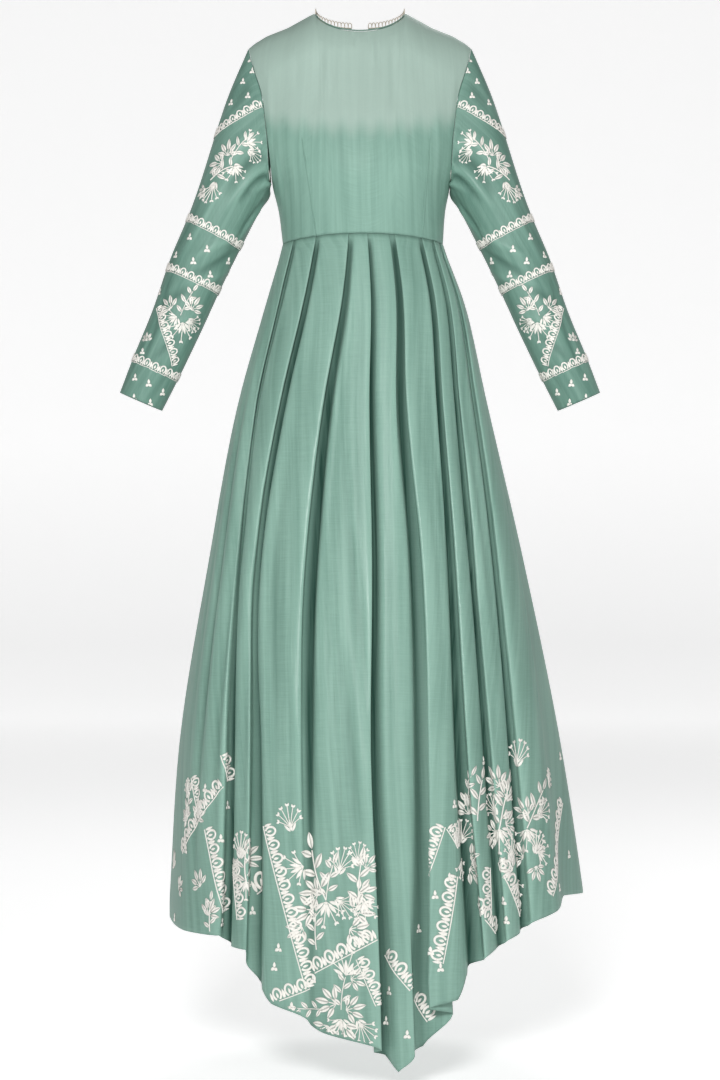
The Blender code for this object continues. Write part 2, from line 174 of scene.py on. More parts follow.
def panel_columns(side):
    """The share of the half width and the top of each column of a panel."""
    even = np.linspace(-math.pi / 2, math.pi / 2, 105)
    neck_turns = even[(np.abs(even) < 1.15) | (np.abs(even) > 1.56)]
    shoulder_turns = np.linspace(math.asin(NECK_SHARE), math.pi / 2, 31)[1:]
    shares = np.sin(shoulder_turns)
    drops = np.interp(shares * SHOULDER_HALF_WIDTH, SHOULDER["out"], SHOULDER["drop"])
    neck_shares = NECK_SHARE * np.sin(neck_turns)
    tops = np.r_[drops[::-1], neck_drop(neck_turns, side), drops]
    return np.r_[-shares[::-1], neck_shares, shares], tops


def panel_levels(tops):
    """The level and the drop at each point of a panel."""
    levels = finer(PANEL_DROPS, 7)[:, None]
    rise = (WAIST_DROP - levels) / (WAIST_DROP - SHOULDER_DROP)
    return levels, WAIST_DROP + (tops - WAIST_DROP) * rise


def smooth_step(low, high, value):
    t = np.clip((value - low) / (high - low), 0, 1)
    return t * t * (3 - 2 * t)


def creased(creases, across, down):
    """How far creases lift the cloth. Each runs between two places, with its width, and its height, which
    is negative where it sinks."""
    lift = np.zeros(np.broadcast(across, down).shape)
    for from_across, from_down, to_across, to_down, width, height in creases:
        along = np.array([to_across - from_across, to_down - from_down])
        length = np.hypot(*along)
        along /= length
        run = (across - from_across) * along[0] + (down - from_down) * along[1]
        off = (across - from_across) * along[1] - (down - from_down) * along[0]
        t = np.clip(run / length, 0, 1)
        lift += height * np.exp(-((off / width) ** 2)) * np.sin(math.pi * t) ** 0.7
    return lift


def normals_of(points):
    """The outward direction at each point of a grid whose rows run to the right and then down."""
    right = np.gradient(points, axis=1)
    down = np.gradient(points, axis=0)
    return unit(np.cross(down, right))


def lengths(points, axis):
    """How far along each row or column every point of a grid lies."""
    steps = np.linalg.norm(np.diff(points, axis=axis), axis=-1)
    zero = np.zeros_like(np.take(steps, [0], axis=axis))
    return np.concatenate([zero, np.cumsum(steps, axis=axis)], axis=axis)


def new_piece(name, points, faces, finish):
    """An object of these points and faces, in one material and shaded smooth."""
    mesh = bpy.data.meshes.new(name)
    mesh.from_pydata(points, [], faces)
    mesh.materials.append(finish)
    mesh.shade_smooth()
    piece = bpy.data.objects.new(name, mesh)
    bpy.context.scene.collection.objects.link(piece)
    return piece


def carry(piece, name, values):
    """Gives each point of a piece a value that its material reads."""
    piece.data.attributes.new(name, "FLOAT", "POINT").data.foreach_set("value", values.ravel())


def cut_cloth(name, points, finish, wall=SILK, closed=False, sheer=None, painted_fold_shading=None):
    """A sheet through a grid of points, from top to bottom, that carries its place in the flat cloth,
    how sheer it is, and the painted shade of its folds and painted highlight of its ridges."""
    rows, columns = points.shape[:2]
    across = lengths(points, 1)
    across -= across[:, columns // 2 : columns // 2 + 1]
    flat = np.stack([across, lengths(points, 0), np.zeros_like(across)], axis=-1)
    corner = np.arange(rows * columns).reshape(rows, columns)
    if closed:
        corner = np.concatenate([corner, corner[:, :1]], axis=1)
    faces = np.stack([corner[:-1, :-1], corner[1:, :-1], corner[1:, 1:], corner[:-1, 1:]], axis=-1)
    piece = new_piece(name, points.reshape(-1, 3), faces.reshape(-1, 4).tolist(), finish)
    places = piece.data.attributes.new("flat cloth", "FLOAT_VECTOR", "POINT")
    places.data.foreach_set("vector", flat.ravel())
    for kind, values in (("sheer", sheer), ("painted_fold_shading", painted_fold_shading)):
        if values is not None:
            carry(piece, kind, values)
    shell = piece.modifiers.new("thickness", "SOLIDIFY")
    shell.thickness = wall
    shell.offset = 0
    return piece


def into(node, name, value):
    """Sets a node's socket to a value, or links it to a Dye."""
    if isinstance(value, Dye):
        value.tree.links.new(value.socket, node.inputs[name])
    else:
        node.inputs[name].default_value = value


class Dye:
    """One output of a material's nodes. Arithmetic on it adds Math nodes to the same material."""

    def __init__(self, tree, socket=None):
        self.tree = tree
        self.socket = socket

    def node(self, kind, settings=None, inputs=None, output=0):
        """Adds a node of any kind: its settings first, then its sockets' values or links."""
        made = self.tree.nodes.new("ShaderNode" + kind)
        for name, value in (settings or {}).items():
            setattr(made, name, value)
        for name, value in (inputs or {}).items():
            into(made, name, value)
        return Dye(self.tree, made.outputs[output])

    def maths(self, operation, first, second):
        return self.node("Math", {"operation": operation}, {0: first, 1: second})

    def __add__(self, other):
        return self.maths("ADD", self, other)

    def __radd__(self, other):
        return self.maths("ADD", other, self)

    def __sub__(self, other):
        return self.maths("SUBTRACT", self, other)

    def __mul__(self, other):
        return self.maths("MULTIPLY", self, other)

    def blend(self, first, second):
        """A colour between two, with this as the share of the second."""
        return self.node("Mix", {"data_type": "RGBA"}, {0: self, 6: first, 7: second}, output=2)

    def noise(self, place, detail=2.0, roughness=0.5):
        sockets = {"Vector": place, "Scale": 1.0, "Detail": detail, "Roughness": roughness}
        return self.node("TexNoise", {}, sockets)

    def stretched(self, place, across, down):
        """The place with its two directions scaled, so that noise on it runs long one way."""
        return self.node("VectorMath", {"operation": "MULTIPLY"}, {0: place, 1: (across, down, 1.0)})


def new_material(name):
    """A material with its shader and a Dye to add nodes from."""
    made = bpy.data.materials.new(name)
    made.use_nodes = True
    shader = made.node_tree.nodes["Principled BSDF"]
    return made, shader, Dye(made.node_tree)


SAGE_LIGHT = np.array([0.260, 0.420, 0.350, 1])
SAGE = np.array([0.198, 0.340, 0.280, 1])
SAGE_DEEP = np.array([0.098, 0.200, 0.160, 1])
SAGE_SHEER = np.array([0.400, 0.490, 0.440, 1])
# The colour of the painted shade inside folds.
SAGE_PAINTED_FOLD_SHADE = (0.012, 0.048, 0.034, 1)


def silk(name, deep=0.0, sheer=False, creases=1.0):
    """Silk chanderi: uneven crosswise slubs, a soft sheen, and fine creases down its length. Its colour has
    painted highlight on its ridges and painted shade inside its folds."""
    made, shader, dye = new_material(name)
    place = dye.node("Attribute", {"attribute_name": "flat cloth"}, output=1)
    slub = dye.noise(dye.stretched(place, 28.0, 760.0), 3.0, 0.6)
    thread = dye.noise(dye.stretched(place, 900.0, 30.0), 2.0)
    streak = dye.noise(dye.stretched(place, 95.0, 3.0), 3.0, 0.55)
    cloud = dye.noise(dye.stretched(place, 9.0, 4.0), 2.0)
    crumple = dye.noise(dye.stretched(place, 160.0, 22.0), 2.0, 0.6)
    tone = 0.5 + (slub - 0.5) * 0.9 + (streak - 0.5) * 1.9 + (cloud - 0.5) * 1.2 + (thread - 0.5) * 0.3
    # deep darkens the ground colour; the sleeves use it as painted shade, being the same silk as the rest.
    ground = SAGE * (1 - deep) + SAGE_DEEP * deep
    colour = tone.blend(tuple((SAGE_DEEP + ground) / 2), tuple((SAGE_LIGHT + ground) / 2))
    if sheer:
        thin = dye.node("Attribute", {"attribute_name": "sheer"}, output=2)
        colour = (thin * 0.62).blend(colour, tuple(SAGE_SHEER))
    # Painted light: the colour is painted paler on ridges as painted highlight and darker inside folds as
    # painted shade.
    painted_fold_shading = dye.node("Attribute", {"attribute_name": "painted_fold_shading"}, output=2)
    colour = (painted_fold_shading * -0.45).blend(colour, tuple(SAGE_LIGHT * 1.25))
    colour = (painted_fold_shading * (0.85 + (streak - 0.40) * 0.9)).blend(colour, SAGE_PAINTED_FOLD_SHADE)
    into(shader, "Base Color", colour)
    into(shader, "Roughness", 0.50 + (slub - 0.5) * 0.25 + (streak - 0.5) * 0.15 + painted_fold_shading * 0.3)
    into(shader, "Sheen Weight", 0.04)
    into(shader, "Sheen Roughness", 0.40)
    into(shader, "Sheen Tint", (0.45, 0.75, 0.62, 1))
    into(shader, "Specular IOR Level", 0.20)
    relief = slub * 0.10 + thread * 0.04 + (streak + crumple * 0.35) * creases
    into(shader, "Normal", dye.node("Bump", {}, {"Strength": 0.6, "Distance": 0.0016, "Height": relief}))
    return made


def finished(piece, node):
    """Attaches a cloth piece to the body's root and hides the imported part of that name."""
    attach(piece, "root")
    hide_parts(node)


# The silk turns sheer from this far below the lining's top to this far above it, unevenly.
SHEER_BELOW = 20 * MM
SHEER_ABOVE = 22 * MM
SHEER_WAVE = 4 * MM


def lining_top(share):
    """How far down the lining's top edge lies, at a share of the half width."""
    return LINING_TOP_SIDE + (LINING_TOP_MIDDLE - LINING_TOP_SIDE) * np.clip(1 - share**2, 0, 1)


def sheer_above_lining(points):
    """1 where the silk has no lining behind it, fading over the lining's top edge."""
    drop = -points[..., 2]
    share = points[..., 0] / edge_at(drop)
    below = drop - lining_top(share) + SHEER_WAVE * np.sin(31 * share + 1.2)
    return 1 - smooth_step(-SHEER_ABOVE, SHEER_BELOW, below)


# Creases of the front, each from one out and drop to another, with its width and height: gathers below
# the neck, soft pulls down the yoke, the two darts, and the small puckers at the darts' tips.
FRONT_CREASES = (
    (-0.011, 0.040, -0.0105, 0.062, 0.0012, -0.0012),
    (-0.004, 0.040, -0.004, 0.058, 0.0015, 0.0007),
    (0.004, 0.040, 0.0045, 0.060, 0.0015, 0.0008),
    (0.0125, 0.039, 0.014, 0.070, 0.0016, -0.0010),
    (0.0185, 0.038, 0.020, 0.090, 0.0020, 0.0012),
    (0.0265, 0.038, 0.0285, 0.110, 0.0026, -0.0012),
    (0.050, 0.045, 0.052, 0.165, 0.0060, -0.0020),
    (0.062, 0.050, 0.066, 0.150, 0.0060, 0.0014),
    (-0.060, 0.055, -0.064, 0.165, 0.0070, -0.0016),
    (-0.048, 0.050, -0.050, 0.140, 0.0060, 0.0010),
    (-0.094, 0.060, -0.098, 0.130, 0.0040, -0.0012),
    (0.084, 0.060, 0.088, 0.120, 0.0040, -0.0010),
    (-0.030, 0.060, -0.034, 0.150, 0.0060, 0.0008),
    (-0.0885, 0.204, -0.0705, 0.345, 0.0012, -0.0012),
    (0.1065, 0.204, 0.0905, 0.345, 0.0012, -0.0012),
    (-0.0850, 0.210, -0.0670, 0.340, 0.0050, 0.0008),
    (0.1030, 0.210, 0.0870, 0.340, 0.0050, 0.0008),
    (-0.117, 0.176, -0.114, 0.192, 0.0014, 0.0014),
    (-0.108, 0.180, -0.107, 0.198, 0.0014, 0.0016),
    (0.1185, 0.176, 0.1170, 0.196, 0.0016, 0.0014),
    (-0.130, 0.215, -0.1215, 0.300, 0.0025, 0.0016),
    (-0.124, 0.225, -0.116, 0.290, 0.0040, -0.0012),
    (0.126, 0.220, 0.119, 0.300, 0.0040, -0.0012),
    (-0.142, 0.090, -0.136, 0.200, 0.0050, 0.0014),
    (0.144, 0.090, 0.138, 0.200, 0.0050, 0.0014),
)
# The dip of the waist seam at the sides, and the drops between which the cloth follows it.
WAIST_DIP = 8 * MM
DIP_STARTS = 0.240
DIP_ENDS = 0.470


def dipped(points):
    """The waist seam rides up in the middle, so the cloth near it drops towards the sides."""
    drop = -points[..., 2]
    near = smooth_step(DIP_STARTS, WAIST_DROP, drop) * (1 - smooth_step(WAIST_DROP, DIP_ENDS, drop))
    share = np.clip(np.abs(points[..., 0] - WAIST_SHIFT) / WAIST_HALF_WIDTH, 0, 1)
    moved = points.copy()
    moved[..., 2] -= WAIST_DIP * share**2 * near
    return moved


def front_points():
    """The whole front panel, creased, from its neck and shoulders to the waist."""
    shares, tops = panel_columns("front")
    levels, drop = panel_levels(tops)
    out = edge_at(levels) * shares
    lift = creased(FRONT_CREASES, out, drop)[..., None]
    return dipped(torso_point(out, drop, "front") + torso_outward(out, drop, "front") * lift)[::-1]


bodice_silk = silk("sage silk bodice", sheer=True, creases=0.45)
front = front_points()
bodice_front = cut_cloth("bodice_front_silk", front, bodice_silk, sheer=sheer_above_lining(front))
finished(bodice_front, "bodice_front")

DART_WIDTH = 0.9 * MM


def dart_edge(name, start, finish):
    """The stitched edge of a front dart: a fine ridge of silk on the panel between two places."""
    share = np.linspace(0, 1, 40)
    out = start[0] + (finish[0] - start[0]) * share
    drop = start[1] + (finish[1] - start[1]) * share
    middle = torso_point(out, drop, "front")
    taper = DART_WIDTH * np.minimum(1, 5 * share + 0.2)
    rows = [
        middle + np.stack([side * taper, 0 * taper - lift, 0 * taper], axis=1)
        for side, lift in ((-1, 0.3 * MM), (-0.3, 1.1 * MM), (1, 0.3 * MM))
    ]
    ridge = cut_cloth(name, dipped(np.stack(rows, axis=1)), bodice_silk, wall=0.2 * MM)
    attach(ridge, "root")


dart_edge("front_dart_left", (-0.0885, 0.204), (-0.0705, 0.349))
dart_edge("front_dart_right", (0.1065, 0.204), (0.0905, 0.349))

# Bodice back. Two panels that meet at the middle seam and part above it in a short slit, so that the
# head passes through the neck.

SLIT_HALF_WIDTH = 13 * MM
SLIT_DROP = 0.150


def back_out(edge, share, drop):
    """How far out a column of the back lies. The inner columns part in a slit that narrows downwards."""
    opening = SLIT_HALF_WIDTH * np.clip((SLIT_DROP - drop) / (SLIT_DROP - NECK_DROPS["back"]), 0, 1)
    return edge * share + (opening + 0.5 * SEAM_GAP) * np.clip(1 - share / NECK_SHARE, 0, 1)


# Creases of one half of the back, given as the front's are, with its dart.
BACK_CREASES = (
    (0.040, 0.060, 0.036, 0.180, 0.0070, -0.0014),
    (0.080, 0.055, 0.082, 0.170, 0.0070, 0.0012),
    (0.118, 0.120, 0.128, 0.240, 0.0060, -0.0016),
    (0.062, 0.205, 0.055, 0.345, 0.0012, -0.0012),
    (0.058, 0.215, 0.051, 0.340, 0.0050, 0.0008),
    (0.128, 0.200, 0.114, 0.310, 0.0050, 0.0012),
)


def back_points():
    """The half on the +X side, with its columns from the armhole to the middle."""
    shares, tops = panel_columns("back")
    right = shares > -1e-9
    levels, drop = panel_levels(tops[right])
    out = back_out(edge_at(levels), shares[right], drop)
    lift = creased(BACK_CREASES, out, drop)[..., None]
    points = dipped(torso_point(out, drop, "back") + torso_outward(out, drop, "back") * lift)
    return points[::-1, ::-1]


def mirrored(points):
    """The same grid on the other side of the gown, still outside out."""
    return (points * MIRROR)[:, ::-1]


back_right = back_points()
back_left = mirrored(back_right)
back_left[..., 0] += 2 * waist_shift(-back_left[..., 2])
for hand, points in (("right", back_right), ("left", back_left)):
    half = cut_cloth(f"bodice_back_{hand}_silk", points, bodice_silk, sheer=sheer_above_lining(points))
    finished(half, f"bodice_back_{hand}")

# Lining. Plain pale silk inside the bodice, cut straight across below the neck, which leaves the yoke
# sheer. It is caught in the side and waist seams.

# How far the lining lies inside the bodice at the sides, and how far its edge stops above the waist.
LINING_INSET = 3.2 * MM
LINING_SEAM = 0.2 * MM
LINING_UP = 1.0 * MM
LINING_SILK = 0.5 * MM
MIDDLE_DEPTH = 0.095


def lining_points(side, shares, hand=1):
    """The panel's own points, moved in, up to the lining's top edge."""
    levels = [drop for drop in PANEL_DROPS if drop > LINING_TOP_SIDE] + [LINING_TOP_SIDE]
    levels = finer(levels, 4)[:, None]
    rise = (WAIST_DROP - levels) / (WAIST_DROP - LINING_TOP_SIDE)
    drop = WAIST_DROP - LINING_UP + (lining_top(shares) - WAIST_DROP + LINING_UP) * rise
    edge = edge_at(levels)
    out = edge * shares if side == "front" else back_out(edge, shares, drop)
    points = torso_point(hand * out, drop, side)
    points[..., 0] -= hand * LINING_INSET * out / edge
    points[..., 1] *= 1 - LINING_INSET / MIDDLE_DEPTH
    points[..., 1] += -LINING_SEAM if side == "front" else LINING_SEAM
    return points[::-1]


def plain_finish(name, grain, detail, dark, light, roughness, depth, strength=1.0, flat=False, foot=None):
    """Plain silk or thread whose fine grain shows in its colour, sheen and surface. Stitches may have a
    darker colour at their foot and veins, as painted shade."""
    made, shader, dye = new_material(name)
    if flat:
        place = dye.node("Attribute", {"attribute_name": "flat cloth"}, output=1)
    else:
        place = dye.node("TexCoord", {}, {}, output=3)
    weave = dye.noise(dye.stretched(place, *grain), detail)
    colour = weave.blend(dark, light)
    # Painted shade: the colour darkens where a stitch stands low, at its foot and in its vein.
    if foot is not None:
        crown = dye.node("Attribute", {"attribute_name": "crown"}, output=2)
        colour = (crown * 2.0).blend(foot, colour)
    into(shader, "Base Color", colour)
    into(shader, "Roughness", roughness + (weave - 0.5) * 0.2)
    into(shader, "Normal", dye.node("Bump", {}, {"Strength": strength, "Distance": depth, "Height": weave}))
    return made


lining_silk = plain_finish(
    "pale sage lining",
    grain=(500.0, 900.0),
    detail=2.0,
    dark=(0.200, 0.335, 0.275, 1),
    light=(0.270, 0.420, 0.355, 1),
    roughness=0.6,
    depth=0.2 * MM,
    flat=True,
)
whole_shares = np.sin(np.linspace(-math.pi / 2, math.pi / 2, 61))
half_shares = np.sin(np.linspace(math.pi / 2, 0, 31))
for name, points, flat in (
    ("lining_front", lining_points("front", whole_shares), (0.34, 0.18)),
    ("lining_back_right", lining_points("back", half_shares, 1), (0.17, 0.18)),
    ("lining_back_left", lining_points("back", half_shares, -1)[:, ::-1], (0.17, 0.18)),
):
    lining = cut_cloth(name + "_silk", points, lining_silk, wall=LINING_SILK)
    finished(lining, name)

# Sleeves. Long, close sleeves cut in one piece, seamed under the arm and set into the armholes. The
# arms hang a little forward, so the silk folds softly at the underarm and the elbow.

UNDERARM_DROP = 0.265
SLEEVE = table(
    "along outer_out outer_drop inner_out inner_drop deep forward",
    (0.070, 0.2065, 0.1349, 0.1410, 0.2790, 0.0550, 0.000),
    (0.150, 0.2500, 0.2706, 0.1590, 0.3120, 0.0530, 0.002),
    (0.285, 0.2962, 0.3881, 0.2162, 0.4272, 0.0460, 0.006),
    (0.365, 0.3212, 0.4628, 0.2465, 0.4945, 0.0410, 0.012),
    (0.440, 0.3497, 0.5340, 0.2821, 0.5696, 0.0370, 0.018),
    (0.495, 0.3698, 0.5881, 0.3052, 0.6158, 0.0345, 0.022),
)
SLEEVE_RINGS = 131
# How far the sleeve's top edge stands off the armhole.
SLEEVE_SEAM = (0.75 * MM, 0, -0.35 * MM)

# Creases of a sleeve. The first number is the turn round the arm in degrees, 0 at its outer line, 90 in
# front and 180 under the arm, and the second how far along it is.
SLEEVE_CREASES = (
    (172, 0.000, 128, 0.120, 6.5, 0.0052),
    (160, 0.000, 114, 0.150, 6.5, -0.0056),
    (146, 0.000, 98, 0.170, 7.0, 0.0050),
    (132, 0.010, 86, 0.150, 7.0, -0.0046),
    (114, 0.005, 70, 0.125, 8.0, 0.0036),
    (186, 0.050, 150, 0.210, 8.0, 0.0040),
    (176, 0.070, 138, 0.230, 6.0, -0.0034),
    (60, 0.000, 40, 0.070, 8.0, -0.0024),
    (150, 0.190, 74, 0.262, 8.0, 0.0034),
    (165, 0.215, 88, 0.292, 7.0, -0.0036),
    (172, 0.252, 80, 0.310, 7.0, 0.0032),
    (120, 0.290, 40, 0.350, 8.0, -0.0026),
    (150, 0.330, 60, 0.395, 8.0, 0.0026),
    (132, 0.372, 70, 0.430, 7.0, -0.0022),
    (70, 0.130, 50, 0.290, 7.0, 0.0024),
    (40, 0.300, 62, 0.460, 7.0, -0.0020),
    (135, 0.400, 120, 0.490, 7.0, -0.0018),
    (95, 0.410, 85, 0.494, 8.0, 0.0016),
    (205, 0.000, 240, 0.130, 7.0, 0.0044),
    (222, 0.000, 258, 0.150, 7.0, -0.0044),
    (245, 0.010, 280, 0.150, 8.0, 0.0036),
    (215, 0.230, 290, 0.280, 8.0, 0.0032),
    (205, 0.260, 280, 0.320, 8.0, -0.0032),
)
# The depth of a fold at which the silk's colour gets its full painted shade.
FULL_SHADE_FOLD_DEPTH = 8 * MM


def sleeve_points():
    """The sleeve on the +X side, from armhole to cuff, and how deep in a fold each point lies, as painted
    shade in folds and painted highlight on ridges. Its rows start at the outer line, go round by the front
    and end where they began."""
    down = np.array([drop for drop in PANEL_DROPS[::-1] if drop <= UNDERARM_DROP])
    down = finer(down, 6)
    front_half = torso_point(edge_at(down), down, "front")
    back_half = torso_point(edge_at(down), down, "back")
    front_half[[0, -1], 1] = 0
    armhole = np.concatenate([front_half, back_half[-2::-1]]) + np.array(SLEEVE_SEAM)
    armhole[-1] = armhole[0]
    fall = np.arccos(np.clip(1 - 2 * (down - SHOULDER_DROP) / (UNDERARM_DROP - SHOULDER_DROP), -1, 1))
    turn = np.concatenate([fall, 2 * math.pi - fall[-2::-1]])
    sections = [armhole]
    for row in range(len(SLEEVE["along"])):
        outer = np.array([SLEEVE["outer_out"][row], -SLEEVE["outer_drop"][row]])
        inner = np.array([SLEEVE["inner_out"][row], -SLEEVE["inner_drop"][row]])
        middle = (outer + inner) / 2
        across = (outer - inner) / 2
        x = middle[0] + across[0] * np.cos(turn)
        z = middle[1] + across[1] * np.cos(turn)
        y = -SLEEVE["forward"][row] - SLEEVE["deep"][row] * np.sin(turn)
        sections.append(np.stack([x, y, z], axis=-1))
    knots = np.r_[0.0, SLEEVE["along"]]
    along = np.linspace(0, knots[-1], SLEEVE_RINGS)
    points = through(knots, np.array(sections), along)
    # A crease's width is in degrees here, and its run along the sleeve is counted in degrees as well.
    degrees_a_metre = 900
    lift = creased(
        [(a, b * degrees_a_metre, c, d * degrees_a_metre, w, h) for a, b, c, d, w, h in SLEEVE_CREASES],
        np.degrees(turn)[None, :],
        along[:, None] * degrees_a_metre,
    )
    lift *= smooth_step(0, 0.03, along)[:, None]
    outward = -normals_of(points)
    outward[:, -1] = outward[:, 0] = (outward[:, -1] + outward[:, 0]) / 2
    # The second grid sets painted shade in folds and painted highlight on ridges.
    return points + outward * lift[..., None], np.clip(-lift / FULL_SHADE_FOLD_DEPTH, -0.6, 0.6)


# The sleeves' silk gets a darker ground colour as painted shade.
sleeve_silk = silk("sage silk sleeve", deep=1.05, creases=0.9)
sleeve_right, sleeve_fold_shading = (grid[:, ::-1] for grid in sleeve_points())
sleeve_left = mirrored(sleeve_right)
for hand, points, painted_fold_shading in (
    ("right", sleeve_right, sleeve_fold_shading),
    ("left", sleeve_left, sleeve_fold_shading[:, ::-1]),
):
    sleeve = cut_cloth(f"sleeve_{hand}_silk", points[:, :-1], sleeve_silk, closed=True, painted_fold_shading=painted_fold_shading[:, :-1])
    finished(sleeve, f"sleeve_{hand}")

# Embroidery of the sleeves. Ivory thread in raised satin stitch and couched cord: bands of horseshoe
# loops round the arm, sprays of leaves and stamens between them, and small scattered buds.

THREAD_HEIGHT = 1.5 * MM
THREAD_FOOT = 0.15 * MM
# Stitches end this far above a hem.
HEM_MARGIN = 2 * MM


def upward(normal):
    """The direction that leads up most steeply on cloth with this normal."""
    return unit(np.array([0.0, 0.0, 1.0]) - normal[2] * normal)


class Ground:
    """Cloth to embroider: a grid of its points, with the lengths along its rows and columns."""

    def __init__(self, points, hem=None):
        self.points = points
        self.normals = normals_of(points)
        self.across = lengths(points, 1)
        self.down = lengths(points, 0)
        self.hem = hem

    def spot(self, out, drop, face):
        """The row and column of the outermost cloth there, in front for a face of -1 and behind for 1."""
        apart = np.hypot(self.points[..., 0] - out, self.points[..., 2] + drop)
        apart = apart + np.where(self.normals[..., 1] * face < 0.1, 0.5, 0)
        near = np.where(apart < apart.min() + 0.003, face * self.points[..., 1], -9)
        return np.unravel_index(np.argmax(near), near.shape)

    def girdle(self, start, finish, pitch):
        """Spots all the way round the cloth, a pitch apart, on the plane through two places, and the
        turn of the way round at each."""
        slope = (finish[1] - start[1]) / (finish[0] - start[0])
        below = -self.points[..., 2] - start[1] - slope * (self.points[..., 0] - start[0])
        rows = np.argmax(below > 0, axis=0)
        path = self.points[rows, np.arange(len(rows))]
        run = lengths(path, 0)
        count = round(run[-1] / pitch)
        found = []
        for place in (np.arange(count) + 0.5) * run[-1] / count:
            column = np.clip(np.searchsorted(run, place), 3, len(run) - 4)
            forward = path[column + 3] - path[column - 3]
            normal = self.normals[rows[column], column]
            up = upward(normal)
            turn = math.degrees(math.atan2(forward @ np.cross(up, normal), forward @ up))
            found.append(((rows[column], column), turn))
        return found

    def lay(self, spot, flat):
        """Points and normals of the cloth at flat places, right and up from a spot, and which exist."""
        row, column = spot
        rows, columns = self.across.shape
        normal = self.normals[row, column]
        up = upward(normal)
        a, b = min(row, rows - 2), min(column, columns - 2)
        here = self.points[a, b]
        axes = unit(np.stack([self.points[a, b + 1] - here, self.points[a + 1, b] - here]))
        across, down = np.linalg.solve(np.stack([axes @ np.cross(up, normal), axes @ up]), flat.T)
        wanted = self.down[row, column] + down
        at_row = np.interp(wanted, self.down[:, column], np.arange(rows))
        r = np.minimum(at_row.astype(int), rows - 2)
        part = (at_row - r)[:, None]
        lane = self.across[r] * (1 - part) + self.across[r + 1] * part
        target = lane[:, column] + across
        c = np.clip((lane <= target[:, None]).sum(axis=1) - 1, 0, columns - 2)
        each = np.arange(len(flat))
        share = (target - lane[each, c]) / np.maximum(lane[each, c + 1] - lane[each, c], 1e-9)
        share = np.clip(share, 0, 1)[:, None]

        def between(grid):
            upper = grid[r, c] * (1 - share) + grid[r, c + 1] * share
            lower = grid[r + 1, c] * (1 - share) + grid[r + 1, c + 1] * share
            return upper * (1 - part) + lower * part

        found = between(self.points)
        normals = between(self.normals)
        whole = (wanted > 0) & (wanted < self.down[-1, column]) & (target > 0) & (target < lane[:, -1])
        if self.hem is not None:
            whole &= -found[:, 2] < self.hem[c] - HEM_MARGIN
        return found, unit(normals), whole


def petal(length, width):
    """Satin stitch in a pointed oval parted by a vein, with its foot at the origin and its tip above."""
    t = np.linspace(0, 1, 8)[:, None]
    half = width / 2 * np.sin(math.pi * t**0.85) ** 0.85
    rise = THREAD_HEIGHT * np.sin(math.pi * np.clip(t, 0.03, 0.97)) ** 0.45
    across = np.array([-1, -0.70, -0.12, 0.12, 0.70, 1])
    vein = 0.22 if width > 6 * MM else 0.75
    crown = np.array([0, 1, vein, vein, 1, 0])
    return np.stack(np.broadcast_arrays(half * across, length * t, rise * crown), axis=-1)


def strand(path, width):
    """A cord couched down along a path."""
    path = np.asarray(path, float)
    forward = unit(np.gradient(path, axis=0))
    beside = np.stack([forward[:, 1], -forward[:, 0]], axis=1)
    flat = path[:, None] + width / 2 * np.array([-1, -0.55, 0.55, 1])[None, :, None] * beside[:, None]
    lift = 0.85 * THREAD_HEIGHT * np.array([0, 1, 1, 0]) * np.ones((len(path), 1))
    return np.concatenate([flat, lift[..., None]], axis=-1)


def stem(length, bend, count=9):
    """A path that starts straight up and bends to the right by so many degrees."""
    turn = np.radians(bend) * np.linspace(0, 1, count)
    steps = np.stack([np.sin(turn), np.cos(turn)], axis=1) * length / (count - 1)
    return np.concatenate([[[0.0, 0.0]], np.cumsum(steps[:-1], axis=0)])


def placed(stitches, turn=0.0, size=1.0, at=(0.0, 0.0)):
    """The same stitches turned clockwise, resized and moved."""
    cos, sin = math.cos(math.radians(turn)), math.sin(math.radians(turn))
    moved = []
    for grid in stitches:
        x = at[0] + size * (cos * grid[..., 0] + sin * grid[..., 1])
        y = at[1] + size * (cos * grid[..., 1] - sin * grid[..., 0])
        moved.append(np.stack([x, y, grid[..., 2]], axis=-1))
    return moved


def fan(petals, stamens, foot=0.0, gap=0.0):
    """Petals and stamens with heart-shaped ends that spread from one place. Rows give each one's turn
    and length in degrees and millimetres, with a petal's width or a stamen's bend."""
    found = []
    for turn, length, width in petals:
        found += placed(placed([petal(length * MM, width * MM)], 0, 1.0, (0.0, gap * MM)), turn)
    heart = placed([petal(7.0 * MM, 4.4 * MM)], -32) + placed([petal(7.0 * MM, 4.4 * MM)], 32)
    for turn, length, bend in stamens:
        path = stem(length * MM, bend, 7)
        stalk = [strand(path, 1.5 * MM)] + placed(heart, bend, 0.8, path[-1])
        found += placed(stalk, turn, 1.0, (0.0, foot * MM))
    return found


def twig():
    """A curved stem with leaves on alternate sides and one at its end."""
    path = stem(56 * MM, 16)
    found = [strand(path, 1.8 * MM)]
    leaves = ((1, -52, 17), (2, 56, 19), (4, -48, 20), (5, 52, 19), (7, -42, 16), (8, 14, 19))
    for place, turn, length in leaves:
        outward = np.array([math.sin(math.radians(turn)), math.cos(math.radians(turn))])
        foot = path[place] + 1.5 * MM * outward
        found += placed([petal(length * MM, 8.2 * MM)], turn, 1.0, foot)
    return found


def cluster():
    """Leaves on short stalks that spread from one place."""
    found = []
    leaves = ((-74, 6, 17, 8), (-40, 9, 19, 8.6), (-6, 10, 21, 9), (30, 9, 19, 8.6), (66, 6, 17, 8))
    for turn, stalk, length, width in leaves:
        path = stem(stalk * MM, 0, 3)
        leaf = placed([petal(length * MM, width * MM)], 0, 1.0, path[-1])
        found += placed([strand(path, 1.6 * MM)] + leaf, turn)
    return found


